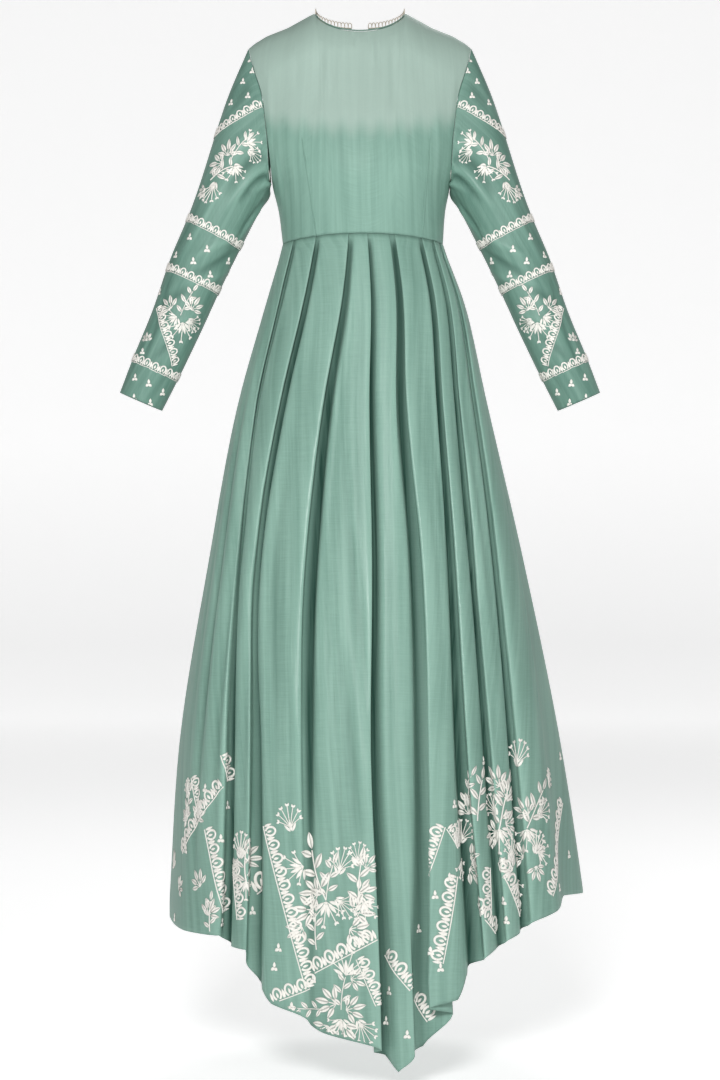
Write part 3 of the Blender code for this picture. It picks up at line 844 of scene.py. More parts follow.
def loop():
    """One horseshoe of a band, open towards the cord at its foot, with petals inside and beside it."""
    angle = np.radians(np.linspace(-158, 158, 17))
    ring = np.stack([4.9 * np.sin(angle), 8.2 + 6.6 * np.cos(angle)], axis=1) * MM
    found = [strand(ring, 3.0 * MM), strand([(-7.9 * MM, 0), (0, 0), (7.9 * MM, 0)], 1.5 * MM)]
    found += placed([petal(7.0 * MM, 3.2 * MM)], 0, 1.0, (0.0, 3.4 * MM))
    for beside, turn in (-7.0, -5), (7.0, 5):
        found += placed([petal(11.5 * MM, 3.4 * MM)], turn, 1.0, (beside * MM, 1.0 * MM))
    return found


# The width of one loop in a band, and the sizes of the loops on the hem and the sleeves.
LOOP_PITCH = 15.8 * MM
HEM_LOOP = 1.30
SLEEVE_LOOP = 0.86
MOTIFS = {
    "bud": fan([(0, 8.5, 4.8), (-128, 6.5, 5.4), (128, 6.5, 5.4)], []),
    "bloom": fan(
        [(-34, 14, 4.4), (34, 14, 4.4), (0, 15, 4.8)],
        [(-48, 19, -16), (-30, 25, -10), (-14, 29, -6), (1, 31, 4), (16, 29, 8), (33, 25, 12), (50, 19, 18)],
        8,
        2.5,
    ),
    "burst": fan(
        [(-72, 16, 5.2), (-40, 18, 5.4), (-10, 19, 5.6), (20, 18, 5.4), (50, 17, 5.2)],
        [(-56, 24, -8), (-25, 29, -4), (5, 31, 4), (35, 28, 10), (66, 22, 16)],
        2,
        4.5,
    ),
    "cluster": cluster(),
    "twig": twig(),
    "loop": loop(),
}


def row_of_loops(length, pitch):
    """A straight band of loops that runs up from its lower end, with the loops on its left."""
    count = max(1, round(length / pitch))
    size = length / count / LOOP_PITCH
    found = []
    for place in (np.arange(count) + 0.5) / count - 0.5:
        found += placed(MOTIFS["loop"], -90, size, (0.0, place * length))
    return found


def embroider(name, ground, work):
    """One mesh of ivory stitches on the cloth. The work names each group's spot and its stitches."""
    points, faces, crowns, start = [], [], [], 0
    for spot, stitches in work:
        flat = np.concatenate([grid.reshape(-1, 3) for grid in stitches])
        found, normals, whole = ground.lay(spot, flat[:, :2])
        points.append(found + normals * (flat[:, 2:] + THREAD_FOOT + SILK / 2))
        crowns.append(flat[:, 2] / THREAD_HEIGHT)
        first = 0
        for grid in stitches:
            corner = first + np.arange(grid[..., 0].size).reshape(grid.shape[:2])
            first += corner.size
            quads = np.stack([corner[:-1, :-1], corner[:-1, 1:], corner[1:, 1:], corner[1:, :-1]], axis=-1)
            quads = quads.reshape(-1, 4)
            faces.append(start + quads[whole[quads].all(axis=1)])
        start += first
    return stitched(name, np.concatenate(points), np.concatenate(faces), np.concatenate(crowns))


def stitched(name, points, faces, crown):
    """The mesh of the stitches, which carries how high each point stands on its stitch."""
    piece = new_piece(name, points, faces.tolist(), ivory_thread)
    carry(piece, "crown", crown)
    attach(piece, "root")
    return points, faces, crown


def sprigs(ground, motifs, face):
    """The work of scattered motifs, on the front of the cloth for a face of -1 and behind for 1."""
    return [
        (ground.spot(out, drop, face), placed(MOTIFS[motif], *turn_and_size))
        for motif, rows in motifs.items()
        for out, drop, *turn_and_size in rows
    ]


def denser(points, rows, columns):
    """The same grid with each step down and each step across cut into so many."""
    for axis, times in ((0, rows), (1, columns)):
        places = np.linspace(0, points.shape[axis] - 1, times * (points.shape[axis] - 1) + 1)
        first = np.minimum(places.astype(int), points.shape[axis] - 2)
        part = (places - first).reshape((-1, 1, 1) if axis == 0 else (1, -1, 1))
        points = points.take(first, axis) * (1 - part) + points.take(first + 1, axis) * part
    return points


ivory_thread = plain_finish(
    "ivory embroidery thread",
    grain=(1500.0, 1500.0),
    detail=1.0,
    dark=(0.62, 0.60, 0.55, 1),
    light=(0.95, 0.93, 0.88, 1),
    roughness=0.5,
    depth=0.4 * MM,
    strength=0.7,
    # The painted shade at the stitches' foot and veins.
    foot=(0.085, 0.110, 0.085, 1),
)

# Bands that go round the sleeve on the -X side, from their outer to their inner end in front.
SLEEVE_BANDS = (
    ((-0.216, 0.187), (-0.147, 0.149)),
    ((-0.267, 0.323), (-0.182, 0.368)),
    ((-0.294, 0.401), (-0.216, 0.437)),
    ((-0.347, 0.541), (-0.285, 0.569)),
)
# The rest of that sleeve: the places of each motif, with its turn clockwise and its size.
SLEEVE_WORK = {
    "front": {
        "twig": (
            (-0.232, 0.262, 48, 0.95), (-0.200, 0.232, 30, 0.80), (-0.272, 0.470, 20, 0.75),
        ),
        "burst": (
            (-0.174, 0.206, 70, 0.80), (-0.190, 0.245, 170, 0.75), (-0.268, 0.480, 175, 0.90),
            (-0.278, 0.470, -120, 0.70),
        ),
        "bloom": (
            (-0.172, 0.222, 115, 0.70), (-0.222, 0.262, 200, 0.85), (-0.262, 0.476, 120, 0.70),
        ),
        "cluster": (
            (-0.205, 0.226, 5, 0.85), (-0.214, 0.240, -75, 0.85), (-0.240, 0.276, -110, 0.60),
            (-0.290, 0.458, -40, 0.80), (-0.256, 0.462, 40, 0.80), (-0.330, 0.508, 0, 0.50),
        ),
        "bud": (
            (-0.171, 0.073, 0, 0.80), (-0.167, 0.091, 0, 0.80), (-0.173, 0.131, 0, 0.85),
            (-0.201, 0.142, 0, 0.85), (-0.182, 0.108, 0, 0.80), (-0.264, 0.350, 0, 0.90),
            (-0.234, 0.368, 0, 0.90), (-0.200, 0.386, 0, 0.90), (-0.285, 0.376, 0, 0.90),
            (-0.258, 0.390, 0, 0.90), (-0.226, 0.409, 0, 0.90), (-0.316, 0.430, 0, 0.90),
            (-0.347, 0.566, 0, 0.90), (-0.320, 0.578, 0, 0.90), (-0.348, 0.598, 0, 0.90),
            (-0.318, 0.606, 0, 0.90), (-0.300, 0.590, 0, 0.90), (-0.336, 0.525, 0, 0.80),
        ),
    },
    "back": {
        "twig": (
            (-0.220, 0.262, -40, 1.05), (-0.292, 0.500, 15, 0.90),
        ),
        "burst": (
            (-0.182, 0.222, 160, 0.90), (-0.300, 0.505, 170, 0.85),
        ),
        "cluster": (
            (-0.205, 0.240, -60, 0.90), (-0.196, 0.262, 60, 0.85), (-0.280, 0.470, 30, 0.85),
            (-0.312, 0.480, -60, 0.85),
        ),
        "bloom": (
            (-0.232, 0.280, 190, 0.80),
        ),
        "bud": (
            (-0.175, 0.100, 0, 0.90), (-0.182, 0.140, 0, 0.90), (-0.260, 0.362, 0, 0.90),
            (-0.228, 0.384, 0, 0.90), (-0.204, 0.404, 0, 0.90), (-0.348, 0.590, 0, 0.90),
            (-0.318, 0.602, 0, 0.90), (-0.250, 0.400, 0, 0.90),
        ),
    },
}

under_arm = sleeve_left.shape[1] // 2
sleeve_ground = np.concatenate([sleeve_left[:, under_arm:-1], sleeve_left[:, : under_arm + 1]], axis=1)
sleeve_ground = Ground(denser(sleeve_ground, 4, 2))
work = []
for start, finish in SLEEVE_BANDS:
    for spot, turn in sleeve_ground.girdle(start, finish, SLEEVE_LOOP * LOOP_PITCH):
        work.append((spot, placed(MOTIFS["loop"], turn - 90, SLEEVE_LOOP)))
slant = row_of_loops(0.098, SLEEVE_LOOP * LOOP_PITCH)
for side, face in (("front", -1), ("back", 1)):
    work += sprigs(sleeve_ground, SLEEVE_WORK[side], face)
    work.append((sleeve_ground.spot(-0.304, 0.503, face), placed(slant, 161 * -face)))
points, faces, crown = embroider("sleeve_left_embroidery", sleeve_ground, work)
stitched("sleeve_right_embroidery", points * MIRROR, faces[:, ::-1], crown)

# Skirt. Two wide panels pleated into the waist seam and seamed at the sides, cut longer towards a
# point in the middle of the front. Each pleat is a folded edge on top of an under layer.

# The plain bell that the folds stand on: its middle, and its reach to the sides, front and back.
BELL = table(
    "drop middle half_width front back",
    (WAIST_DROP, WAIST_SHIFT, WAIST_HALF_WIDTH, 0.092, 0.087),
    (0.443, 0.0080, 0.1520, 0.116, 0.112),
    (0.598, 0.0040, 0.1915, 0.150, 0.148),
    (0.846, 0.0090, 0.2430, 0.195, 0.192),
    (1.125, 0.0140, 0.2910, 0.240, 0.235),
    (1.373, 0.0240, 0.3140, 0.262, 0.258),
    (1.600, 0.0300, 0.3300, 0.275, 0.270),
)
# Levels at which the folds are placed, and the three of them at which their depths are given.
LEVEL_DROPS = (0.350, 0.598, 0.846, 1.125, 1.450)
KEY_DROPS = (0.350, 0.846, 1.450)

# Soft folds. place is the turn in degrees from the middle of the front at the waist, hip, knee, shin
# and hem, crest how far the cloth stands out there in millimetres at the waist, knee and hem, and
# hem how far down it ends.
SOFT_FOLDS = table(
    "name place crest hem",
    ("left seam", (-90, -90, -90, -90, -90), (0, 0, 4), 1.398),
    ("side crest", (-76, -71, -66, -60, -61), (0, 5, 14), 1.400),
    ("left panel", (-22, -28, -32, -28.5, -28.5), (1.5, 4, 7), 1.490),
    ("E lip", (18.8, 14.6, 11.2, 8.3, 8.6), (1.5, 7, 9), 1.560),
    ("E panel", (33, 27, 25.2, 22, 20), (1, 5, 16), 1.480),
    ("right crest", (81, 73, 65, 58, 56), (0, 5, 13), 1.368),
    ("right dip", (85.5, 81, 76, 71, 69), (0, -2, -9), 1.354),
    ("right seam", (90, 90, 90, 90, 90), (0, 1, 10), 1.362),
    ("back crest A", (101, 101, 103, 104, 104), (0, 5, 16), 1.352),
    ("back panel", (196, 197, 198, 198, 198), (1, 4, 8), 1.442),
    ("back crest B", (258, 258, 256, 255, 255), (0, 4, 18), 1.318),
    ("left seam again", (270, 270, 270, 270, 270), (0, 0, 4), 1.398),
)
# Pleats. faces is the way the folded edge faces, 1 to the right of someone who stands outside and
# looks in, and -1 to the left. floor is how far the under layer stands out (negative is in), lap how
# far the pleat is turned under and reveal how much of the under layer shows beside the edge before it
# rises. hem is how far down the edge, the turn, the under layer and the risen layer end.
PLEATS = table(
    "name faces place crest floor lap reveal hem",
    (
        "pleat A", 1, (-59, -57, -53, -46, -46),
        (1, 7, 10), (-8, -11, -14), (10, 2, 4), (2, 3, 4), (1.399, 1.405, 1.412, 1.414),
    ),
    (
        "pleat B", 1, (-35, -39, -43, -36.5, -36),
        (1, 7, 12), (-8, -13, -16), (12, 2, 8), (2, 4, 8), (1.415, 1.440, 1.463, 1.474),
    ),
    (
        "pleat C", 1, (-10, -17, -21.5, -20, -20),
        (1, 6, 2), (-8, -14, -4), (12, 3, -6), (2, 12, 10), (1.507, 1.512, 1.519, 1.528),
    ),
    (
        "pleat D", 1, (3, 2.9, 1.9, 0.3, 0.4),
        (1, 6, 12), (-8, -14, -16), (9, 3, 10), (1.5, 5, 5), (1.550, 1.556, 1.562, 1.583),
    ),
    (
        "pleat E", -1, (23, 19.6, 19.5, 16.5, 12.4),
        (1, 8, 18), (-8, -16, -14), (9, 3, 36), (2, 10, 5), (1.490, 1.503, 1.550, 1.556),
    ),
    (
        "pleat F", -1, (46.6, 38, 32.5, 28.8, 28.5),
        (1, 8, 12), (-8, -11, -22), (8, 2, 6), (2, 4, 10), (1.424, 1.430, 1.437, 1.450),
    ),
    (
        "pleat G", -1, (61, 49, 42, 37.5, 36),
        (1, 6, 9), (-7, -8, -8), (6, 1, 1), (2, 3, 4), (1.402, 1.407, 1.411, 1.416),
    ),
    (
        "pleat H", -1, (74, 63, 54, 48, 45),
        (1, 6, 9), (-7, -8, -10), (4, 1, 1), (2, 4, 6), (1.380, 1.386, 1.390, 1.395),
    ),
    (
        "back pleat A", 1, (114, 114, 117, 119, 120),
        (1, 7, 12), (-8, -12, -20), (8, 2, 6), (2, 6, 12), (1.370, 1.376, 1.384, 1.392),
    ),
    (
        "back pleat B", 1, (139, 139, 142, 144, 144),
        (1, 7, 13), (-8, -12, -20), (11, 3, 8), (2, 6, 12), (1.408, 1.412, 1.420, 1.432),
    ),
    (
        "back pleat C", 1, (172, 172, 172, 171, 172),
        (1, 6, 12), (-8, -12, -20), (12, 3, 8), (2, 6, 12), (1.452, 1.455, 1.458, 1.456),
    ),
    (
        "back pleat D", -1, (221, 222, 219, 218, 219),
        (1, 7, 13), (-8, -12, -20), (11, 3, 8), (2, 6, 12), (1.386, 1.392, 1.402, 1.414),
    ),
    (
        "back pleat E", -1, (246, 245, 242, 240, 240),
        (1, 7, 12), (-8, -12, -20), (8, 2, 6), (2, 6, 12), (1.338, 1.345, 1.354, 1.366),
    ),
)
# The under layer rises over so many millimetres at the waist, knee and hem, up to this share of the
# crest. The turn lies this share of the way from the edge in to the under layer.
RISE = (7, 9, 16)
RISEN = 0.25
TURN_SHARE = 0.6


def bell_at(name, drop):
    return through(BELL["drop"], BELL[name], drop)


def on_bell(points, drop):
    """The bell's half width there, and how far right and forward points lie as shares of its reach."""
    half_width = bell_at("half_width", drop)
    depth = np.where(points[..., 1] < 0, bell_at("front", drop), bell_at("back", drop))
    sideways = (points[..., 0] - bell_at("middle", drop)) / half_width
    return half_width, sideways, -points[..., 1] / depth


def pleat_lines(row, radius):
    """The four lines of cloth that make a pleat, in order around the skirt: its edge, the turn behind
    it, the under layer beside it, and where that layer has risen to be the next panel."""
    pleat = {name: PLEATS[name][row] for name in PLEATS}
    name, faces, place, crest, floor = (pleat[key] for key in ("name", "faces", "place", "crest", "floor"))

    def degrees(millimetres):
        return np.degrees(np.interp(LEVEL_DROPS, KEY_DROPS, millimetres) * MM / radius)

    turn = place - faces * degrees(pleat["lap"])
    under = place + faces * degrees(pleat["reveal"])
    rise = under + faces * degrees(RISE)
    lines = [
        (name, place, crest),
        (name + " turn", turn, crest + TURN_SHARE * (floor - crest)),
        (name + " under", under, floor),
        (name + " rise", rise, RISEN * crest),
    ]
    return [(*line, hem) for line, hem in zip(lines, pleat["hem"])][::faces]


def skirt_lines():
    """Each line of the cloth from waist to hem, in order around the skirt from its left seam."""
    radius = (bell_at("half_width", LEVEL_DROPS) + bell_at("front", LEVEL_DROPS)) / 2
    soft = zip(*(SOFT_FOLDS[key] for key in ("name", "place", "crest", "hem")))
    groups = [(row[1][0], [row]) for row in soft]
    groups += [(PLEATS["place"][row][0], pleat_lines(row, radius)) for row in range(len(PLEATS["name"]))]
    groups.sort(key=lambda group: group[0])
    return [line for _, group in groups for line in group]


LINES = skirt_lines()
LINE_NAMES = [line[0] for line in LINES]
LINE_PLACES = np.array([line[1] for line in LINES])
LINE_STANDS = np.array([line[2] for line in LINES]) * MM
LINE_HEMS = np.array([line[3] for line in LINES])
RIGHT_SEAM = LINE_NAMES.index("right seam")
LAST_LINE = len(LINES) - 1


def line_points(lines, drop):
    """Where the given lines of the skirt pass the given drops, in plan."""
    each = np.arange(len(drop)), lines % LAST_LINE
    turn = np.radians(through(LEVEL_DROPS, LINE_PLACES.T, drop)[each])
    stand = through(KEY_DROPS, LINE_STANDS.T, drop)[each]
    half_width = bell_at("half_width", drop)
    depth = np.where(np.cos(turn) > 0, bell_at("front", drop), bell_at("back", drop))
    x = half_width * np.sin(turn)
    y = -depth * np.cos(turn)
    normal = unit(np.stack([np.sin(turn) / half_width, -np.cos(turn) / depth], axis=-1))
    return np.stack([x + bell_at("middle", drop), y], axis=-1) + stand[:, None] * normal


def rounded(points, share):
    """A rounded curve between the middle two of four points, even in pace, so that it never loops."""
    a, b, c, d = points
    steps = (b - a, c - b, d - c)
    ab, bc, cd = (np.linalg.norm(step, axis=-1, keepdims=True) ** 0.5 + 1e-6 for step in steps)
    start = ((b - a) / ab - (c - a) / (ab + bc) + (c - b) / bc) * bc
    finish = ((c - b) / bc - (d - b) / (bc + cd) + (d - c) / cd) * bc
    t = share[:, None]
    level = (1 + 2 * t) * (1 - t) ** 2 * b + t * t * (3 - 2 * t) * c
    return level + t * (1 - t) ** 2 * start - t * t * (1 - t) * finish


def skirt_point(along, drop):
    """Points of the skirt, where along counts its lines and fractions between them."""
    along, drop = np.broadcast_arrays(np.asarray(along, float), np.asarray(drop, float))
    flat_along, flat_drop = along.ravel(), drop.ravel()
    line = np.clip(np.floor(flat_along).astype(int), 0, LAST_LINE - 1)
    near = [line_points(line + step, flat_drop) for step in (-1, 0, 1, 2)]
    plan = rounded(near, flat_along - line)
    return np.concatenate([plan, -flat_drop[:, None]], axis=-1).reshape(along.shape + (3,))


# Creases and small soft folds of the skirt: where they run in degrees at the five levels, from one drop
# to another, how wide they are in millimetres and how far they stand out, or in where negative.
SKIRT_CREASES = (
    ((-52, -50, -49, -41, -41), 0.37, 0.62, 3.0, 1.6),
    ((-48, -47, -47, -40, -40), 0.36, 0.75, 3.0, -1.4),
    ((-45, -44.5, -45, -38, -38), 0.40, 0.85, 3.0, 1.5),
    ((-28, -33, -37, -30, -30), 0.60, 1.10, 7.0, 2.0),
    ((-24, -29, -33, -27, -27), 0.70, 1.20, 6.0, -1.8),
    ((-17, -22, -28, -20, -20), 0.80, 1.30, 6.0, 1.8),
    ((-5, -10, -12, -8, -8), 0.50, 0.85, 4.0, -2.0),
    ((-8, -8.5, -6, -5, -5), 0.36, 0.60, 2.0, 1.4),
    ((-6, -5, -2.5, -3, -3), 0.45, 1.05, 3.0, 1.8),
    ((9, 8, 6, 4, 4), 0.65, 1.20, 5.0, 1.6),
    ((14, 11, 8, 5.5, 5.5), 0.80, 1.35, 5.0, -1.6),
    ((-12, -11, -4, 0, 0), 0.78, 1.14, 10.0, -5.0),
    ((-16, -15, -10, -5, -3), 0.95, 1.28, 8.0, -4.5),
    ((-20, -19, -14, -9, -8), 0.82, 1.38, 4.0, -3.0),
    ((-58, -56, -53, -49, -48), 0.60, 1.30, 9.0, -6.0),
    ((-70, -66, -62, -58, -57), 0.55, 1.35, 10.0, -6.5),
    ((-44, -43, -42, -38, -36), 0.75, 1.30, 8.0, -5.0),
    ((-60, -58, -50, -45, -45), 0.42, 0.85, 10.0, -4.0),
    ((46, 43, 41, 39, 37), 0.60, 1.25, 9.0, -4.0),
    ((58, 52, 47, 42, 39), 0.55, 1.05, 8.0, -3.5),
    ((28, 24, 23, 19, 17), 0.60, 1.10, 6.0, 1.6),
    ((38, 32, 29, 25, 24), 0.55, 0.95, 6.0, -2.4),
    ((40, 34, 30.5, 27, 26), 0.36, 0.80, 5.0, 1.8),
    ((66, 56, 50, 45, 42), 0.40, 0.80, 5.0, 1.6),
    ((70, 60, 53, 47, 44), 0.70, 1.20, 5.0, -1.6),
    ((-68, -64, -60, -54, -54), 0.50, 1.15, 6.0, 1.8),
    ((-80, -76, -71, -66, -66), 0.60, 1.25, 6.0, -1.8),
    ((84, 78, 71, 64, 62), 0.55, 1.20, 6.0, 2.0),
    ((126, 126, 129, 131, 132), 0.45, 1.10, 7.0, 2.0),
    ((155, 155, 157, 158, 158), 0.50, 1.15, 7.0, 2.0),
    ((184, 185, 186, 186, 186), 0.60, 1.20, 7.0, -2.0),
    ((208, 208, 208, 208, 208), 0.45, 1.10, 7.0, 2.0),
    ((232, 232, 230, 229, 229), 0.50, 1.20, 7.0, 2.0),
)


def skirt_creased(points, drop):
    """The skirt's points moved by its small creases, straight out from its middle."""
    half_width, sideways, forward = on_bell(points, drop)
    turn = np.degrees(np.arctan2(sideways, forward))
    lift = np.zeros_like(turn)
    for place, start, finish, width, height in SKIRT_CREASES:
        off = (turn - through(LEVEL_DROPS, place, drop) + 180) % 360 - 180
        off = np.radians(off) * half_width / (width * MM)
        t = np.clip((drop - start) / (finish - start), 0, 1)
        lift += height * MM * np.exp(-(off**2)) * np.sin(math.pi * t) ** 0.8
    outward = np.stack([sideways, -forward, np.zeros_like(turn)], axis=-1)
    return points + outward * lift[..., None]


# How far apart the cloth's columns lie at this drop, and the fewest and most from one line to the next.
COLUMN_STEP = 0.0055
STEPS_DROP = 1.3
STEPS_LEAST = 6
STEPS_MOST = 16


def fine_along(first, last):
    """Places around the skirt, closer together where its lines are, so that each fold stays round."""
    steps = []
    for line in range(first, last):
        ends = skirt_point(np.array([line, line + 1.0]), STEPS_DROP)
        count = int(np.clip(np.linalg.norm(ends[1] - ends[0]) / COLUMN_STEP, STEPS_LEAST, STEPS_MOST))
        steps.append(line + np.arange(count) / count)
    return np.r_[np.concatenate(steps), float(last)]


SKIRT_TOP = WAIST_DROP + 1.5 * SEAM_GAP
SKIRT_ROWS = 170
# The seam presses the pleats flat by this share, onto the bell widened so much, and they open over the
# first few centimetres below it.
PRESSED_SHARE = 0.75
PRESSED_WIDTH = 1.006
PLEATS_OPEN = 24 * MM


def skirt_panel(first, last):
    """One panel of the skirt between two of its lines, from the waist seam to the hem."""
    along = fine_along(first, last)
    hem = np.interp(along, np.arange(LAST_LINE + 1), LINE_HEMS)
    rise = np.linspace(0, 1, SKIRT_ROWS)[:, None]
    drop = SKIRT_TOP + (hem[None, :] - SKIRT_TOP) * rise
    points = skirt_creased(skirt_point(along[None, :], drop), drop)
    half_width, sideways, forward = on_bell(points, drop)
    near_seam = 1 - smooth_step(0, PLEATS_OPEN, drop - SKIRT_TOP)
    pressed = PRESSED_SHARE * near_seam * (PRESSED_WIDTH / np.hypot(sideways, forward) - 1)
    points[..., 0] += pressed * sideways * half_width
    points[..., 1] += pressed * points[..., 1] + (-1 if first == 0 else 1) * 0.7 * SEAM_GAP
    return dipped(points)


# The cloth this far to each side is what a fold's depth is measured from.
FOLD_REACH = 24 * MM


def painted_fold_shading_of(points):
    """How far each point lies inside the cloth around it, as a share of a deep fold. It sets the painted
    shade in folds and, where negative, the painted highlight on ridges.
    """
    half_width, sideways, forward = on_bell(points, -points[..., 2])
    stand = (np.hypot(sideways, forward) - 1) * half_width
    across = lengths(points, 1)
    found = np.empty_like(stand)
    for row, (run, height) in enumerate(zip(across, stand)):
        total = np.r_[0, np.cumsum(np.diff(run) * (height[1:] + height[:-1]) / 2)]
        low, high = np.maximum(run - FOLD_REACH, 0), np.minimum(run + FOLD_REACH, run[-1])
        found[row] = (np.interp(high, run, total) - np.interp(low, run, total)) / (high - low) - height
    return np.clip(np.sign(found) * np.abs(found / FULL_SHADE_FOLD_DEPTH) ** 1.4, -0.7, 0.95)


skirt_silk = silk("sage silk skirt")
for name, first, last in (("skirt_front", 0, RIGHT_SEAM), ("skirt_back", RIGHT_SEAM, LAST_LINE)):
    points = skirt_panel(first, last)
    # The skirt's colour gets painted shade in its folds and painted highlight on its ridges.
    panel = cut_cloth(name + "_silk", points, skirt_silk, painted_fold_shading=painted_fold_shading_of(points))
    finished(panel, name)

# Embroidery of the hem. The same ivory work at a larger scale: slanting bands of loops that cut the
# hem into fields, sprays that grow up from them, and scattered buds.

# Straight bands in front: the middle, the length and the turn of each.
HEM_BANDS = (
    (-0.241, 1.234, 0.146, 42), (-0.249, 1.196, 0.054, -22), (-0.196, 1.152, 0.040, -16),
    (-0.219, 1.302, 0.128, -19), (-0.185, 1.334, 0.081, -15), (-0.147, 1.328, 0.029, 62),
    (-0.114, 1.347, 0.242, -17), (-0.102, 1.474, 0.059, 68), (-0.020, 1.415, 0.107, 61),
    (0.007, 1.451, 0.072, -24), (0.050, 1.440, 0.065, -43), (0.088, 1.496, 0.043, -35),
    (0.102, 1.288, 0.124, 21), (0.135, 1.364, 0.127, 14), (0.137, 1.249, 0.035, -33),
    (0.186, 1.371, 0.067, -49), (0.193, 1.325, 0.061, 6), (0.222, 1.329, 0.092, -28),
    (0.300, 1.279, 0.172, 42),
)
HEM_BANDS_BEHIND = (
    (0.245, 1.250, 0.130, 40), (0.205, 1.300, 0.120, -30), (0.120, 1.330, 0.180, 25),
    (0.040, 1.370, 0.150, -45), (-0.040, 1.365, 0.150, 48), (-0.110, 1.300, 0.190, -22),
    (-0.200, 1.270, 0.130, 35), (-0.255, 1.240, 0.110, -35),
)
# Motifs in front and behind: the places of each, with its turn clockwise and its size. A row that gives
# only a place is upright and of size 1.
HEM_WORK = {
    "twig": (
        (-0.052, 1.335, -28, 1.35), (-0.048, 1.335, 4, 0.95), (-0.066, 1.410, -10, 0.95),
        (-0.004, 1.338, -4, 1.10), (-0.026, 1.492, 0, 0.85), (-0.052, 1.492, -98, 0.75),
        (0.172, 1.222, 10, 1.10), (0.206, 1.240, 12, 1.25), (0.252, 1.240, 30, 1.20),
        (0.150, 1.205, 20, 0.90), (-0.266, 1.246, 4, 0.95), (-0.168, 1.320, -8, 0.90),
        (-0.224, 1.392, -8, 0.80),
    ),
    "bloom": (
        (-0.098, 1.238, -14, 1.00), (-0.030, 1.300, 12, 1.00), (-0.036, 1.330, 122, 0.95),
        (-0.006, 1.530, 165, 0.90), (-0.006, 1.285, 4, 0.80), (-0.006, 1.502, 145, 0.95),
        (0.142, 1.262, 32, 0.95), (0.200, 1.222, -42, 0.90), (0.231, 1.153, 2, 1.00),
        (0.266, 1.224, 66, 0.95), (0.286, 1.190, 32, 0.80), (0.151, 1.262, 20, 0.90),
        (0.222, 1.290, 8, 0.85), (0.262, 1.282, 24, 0.90), (-0.262, 1.204, -8, 0.75),
        (-0.176, 1.282, -4, 1.00),
    ),
    "burst": (
        (-0.078, 1.288, -105, 1.00), (-0.050, 1.338, 178, 1.10), (0.000, 1.338, 165, 0.85),
        (-0.022, 1.445, 10, 1.05), (-0.028, 1.505, 190, 0.80), (0.150, 1.280, 165, 0.85),
        (0.208, 1.238, 172, 1.05), (0.252, 1.240, 178, 0.95), (0.234, 1.318, 170, 0.85),
        (0.264, 1.276, 100, 0.80), (-0.172, 1.312, 170, 0.80),
    ),
    "cluster": (
        (-0.064, 1.330, -82, 1.10), (-0.082, 1.378, -120, 0.90), (-0.070, 1.354, -78, 1.15),
        (-0.013, 1.354, 62, 1.15), (-0.016, 1.374, 115, 1.10), (-0.030, 1.512, 175, 1.15),
        (-0.048, 1.514, -150, 1.05), (-0.246, 1.228, 35, 0.95), (-0.262, 1.234, -60, 0.90),
        (-0.002, 1.325, 78, 0.95), (0.004, 1.290, 40, 0.75), (-0.034, 1.484, -75, 1.10),
        (-0.018, 1.492, 80, 1.00), (-0.012, 1.450, 80, 0.85), (0.158, 1.215, -6, 1.05),
        (0.160, 1.282, 80, 1.00), (0.150, 1.240, -70, 0.85), (0.216, 1.196, 20, 1.05),
        (0.218, 1.232, 85, 1.00), (0.198, 1.246, -95, 0.95), (0.250, 1.222, -30, 1.00),
        (0.240, 1.286, -60, 0.90), (0.156, 1.300, 110, 1.00), (0.226, 1.300, -40, 1.00),
        (0.208, 1.178, -28, 1.15), (0.260, 1.296, 170, 0.80), (-0.288, 1.318, -14, 0.95),
        (-0.276, 1.340, 60, 0.80), (-0.164, 1.284, 48, 0.95), (-0.184, 1.300, -70, 0.85),
        (-0.236, 1.330, -34, 0.95), (-0.226, 1.366, 30, 0.90),
    ),
    "bud": (
        (0.184, 1.142), (0.312, 1.148), (-0.230, 1.183), (-0.194, 1.209), (-0.210, 1.258), (-0.262, 1.282),
        (-0.157, 1.358), (-0.284, 1.388), (-0.121, 1.405), (-0.128, 1.437), (0.041, 1.470), (0.035, 1.513),
        (-0.099, 1.491), (0.111, 1.330), (0.130, 1.305), (0.102, 1.409), (0.119, 1.430), (0.207, 1.345),
        (0.218, 1.372), (0.301, 1.335), (0.323, 1.297), (0.141, 1.200), (0.089, 1.380), (0.068, 1.530),
        (-0.070, 1.452), (-0.200, 1.380),
    ),
}
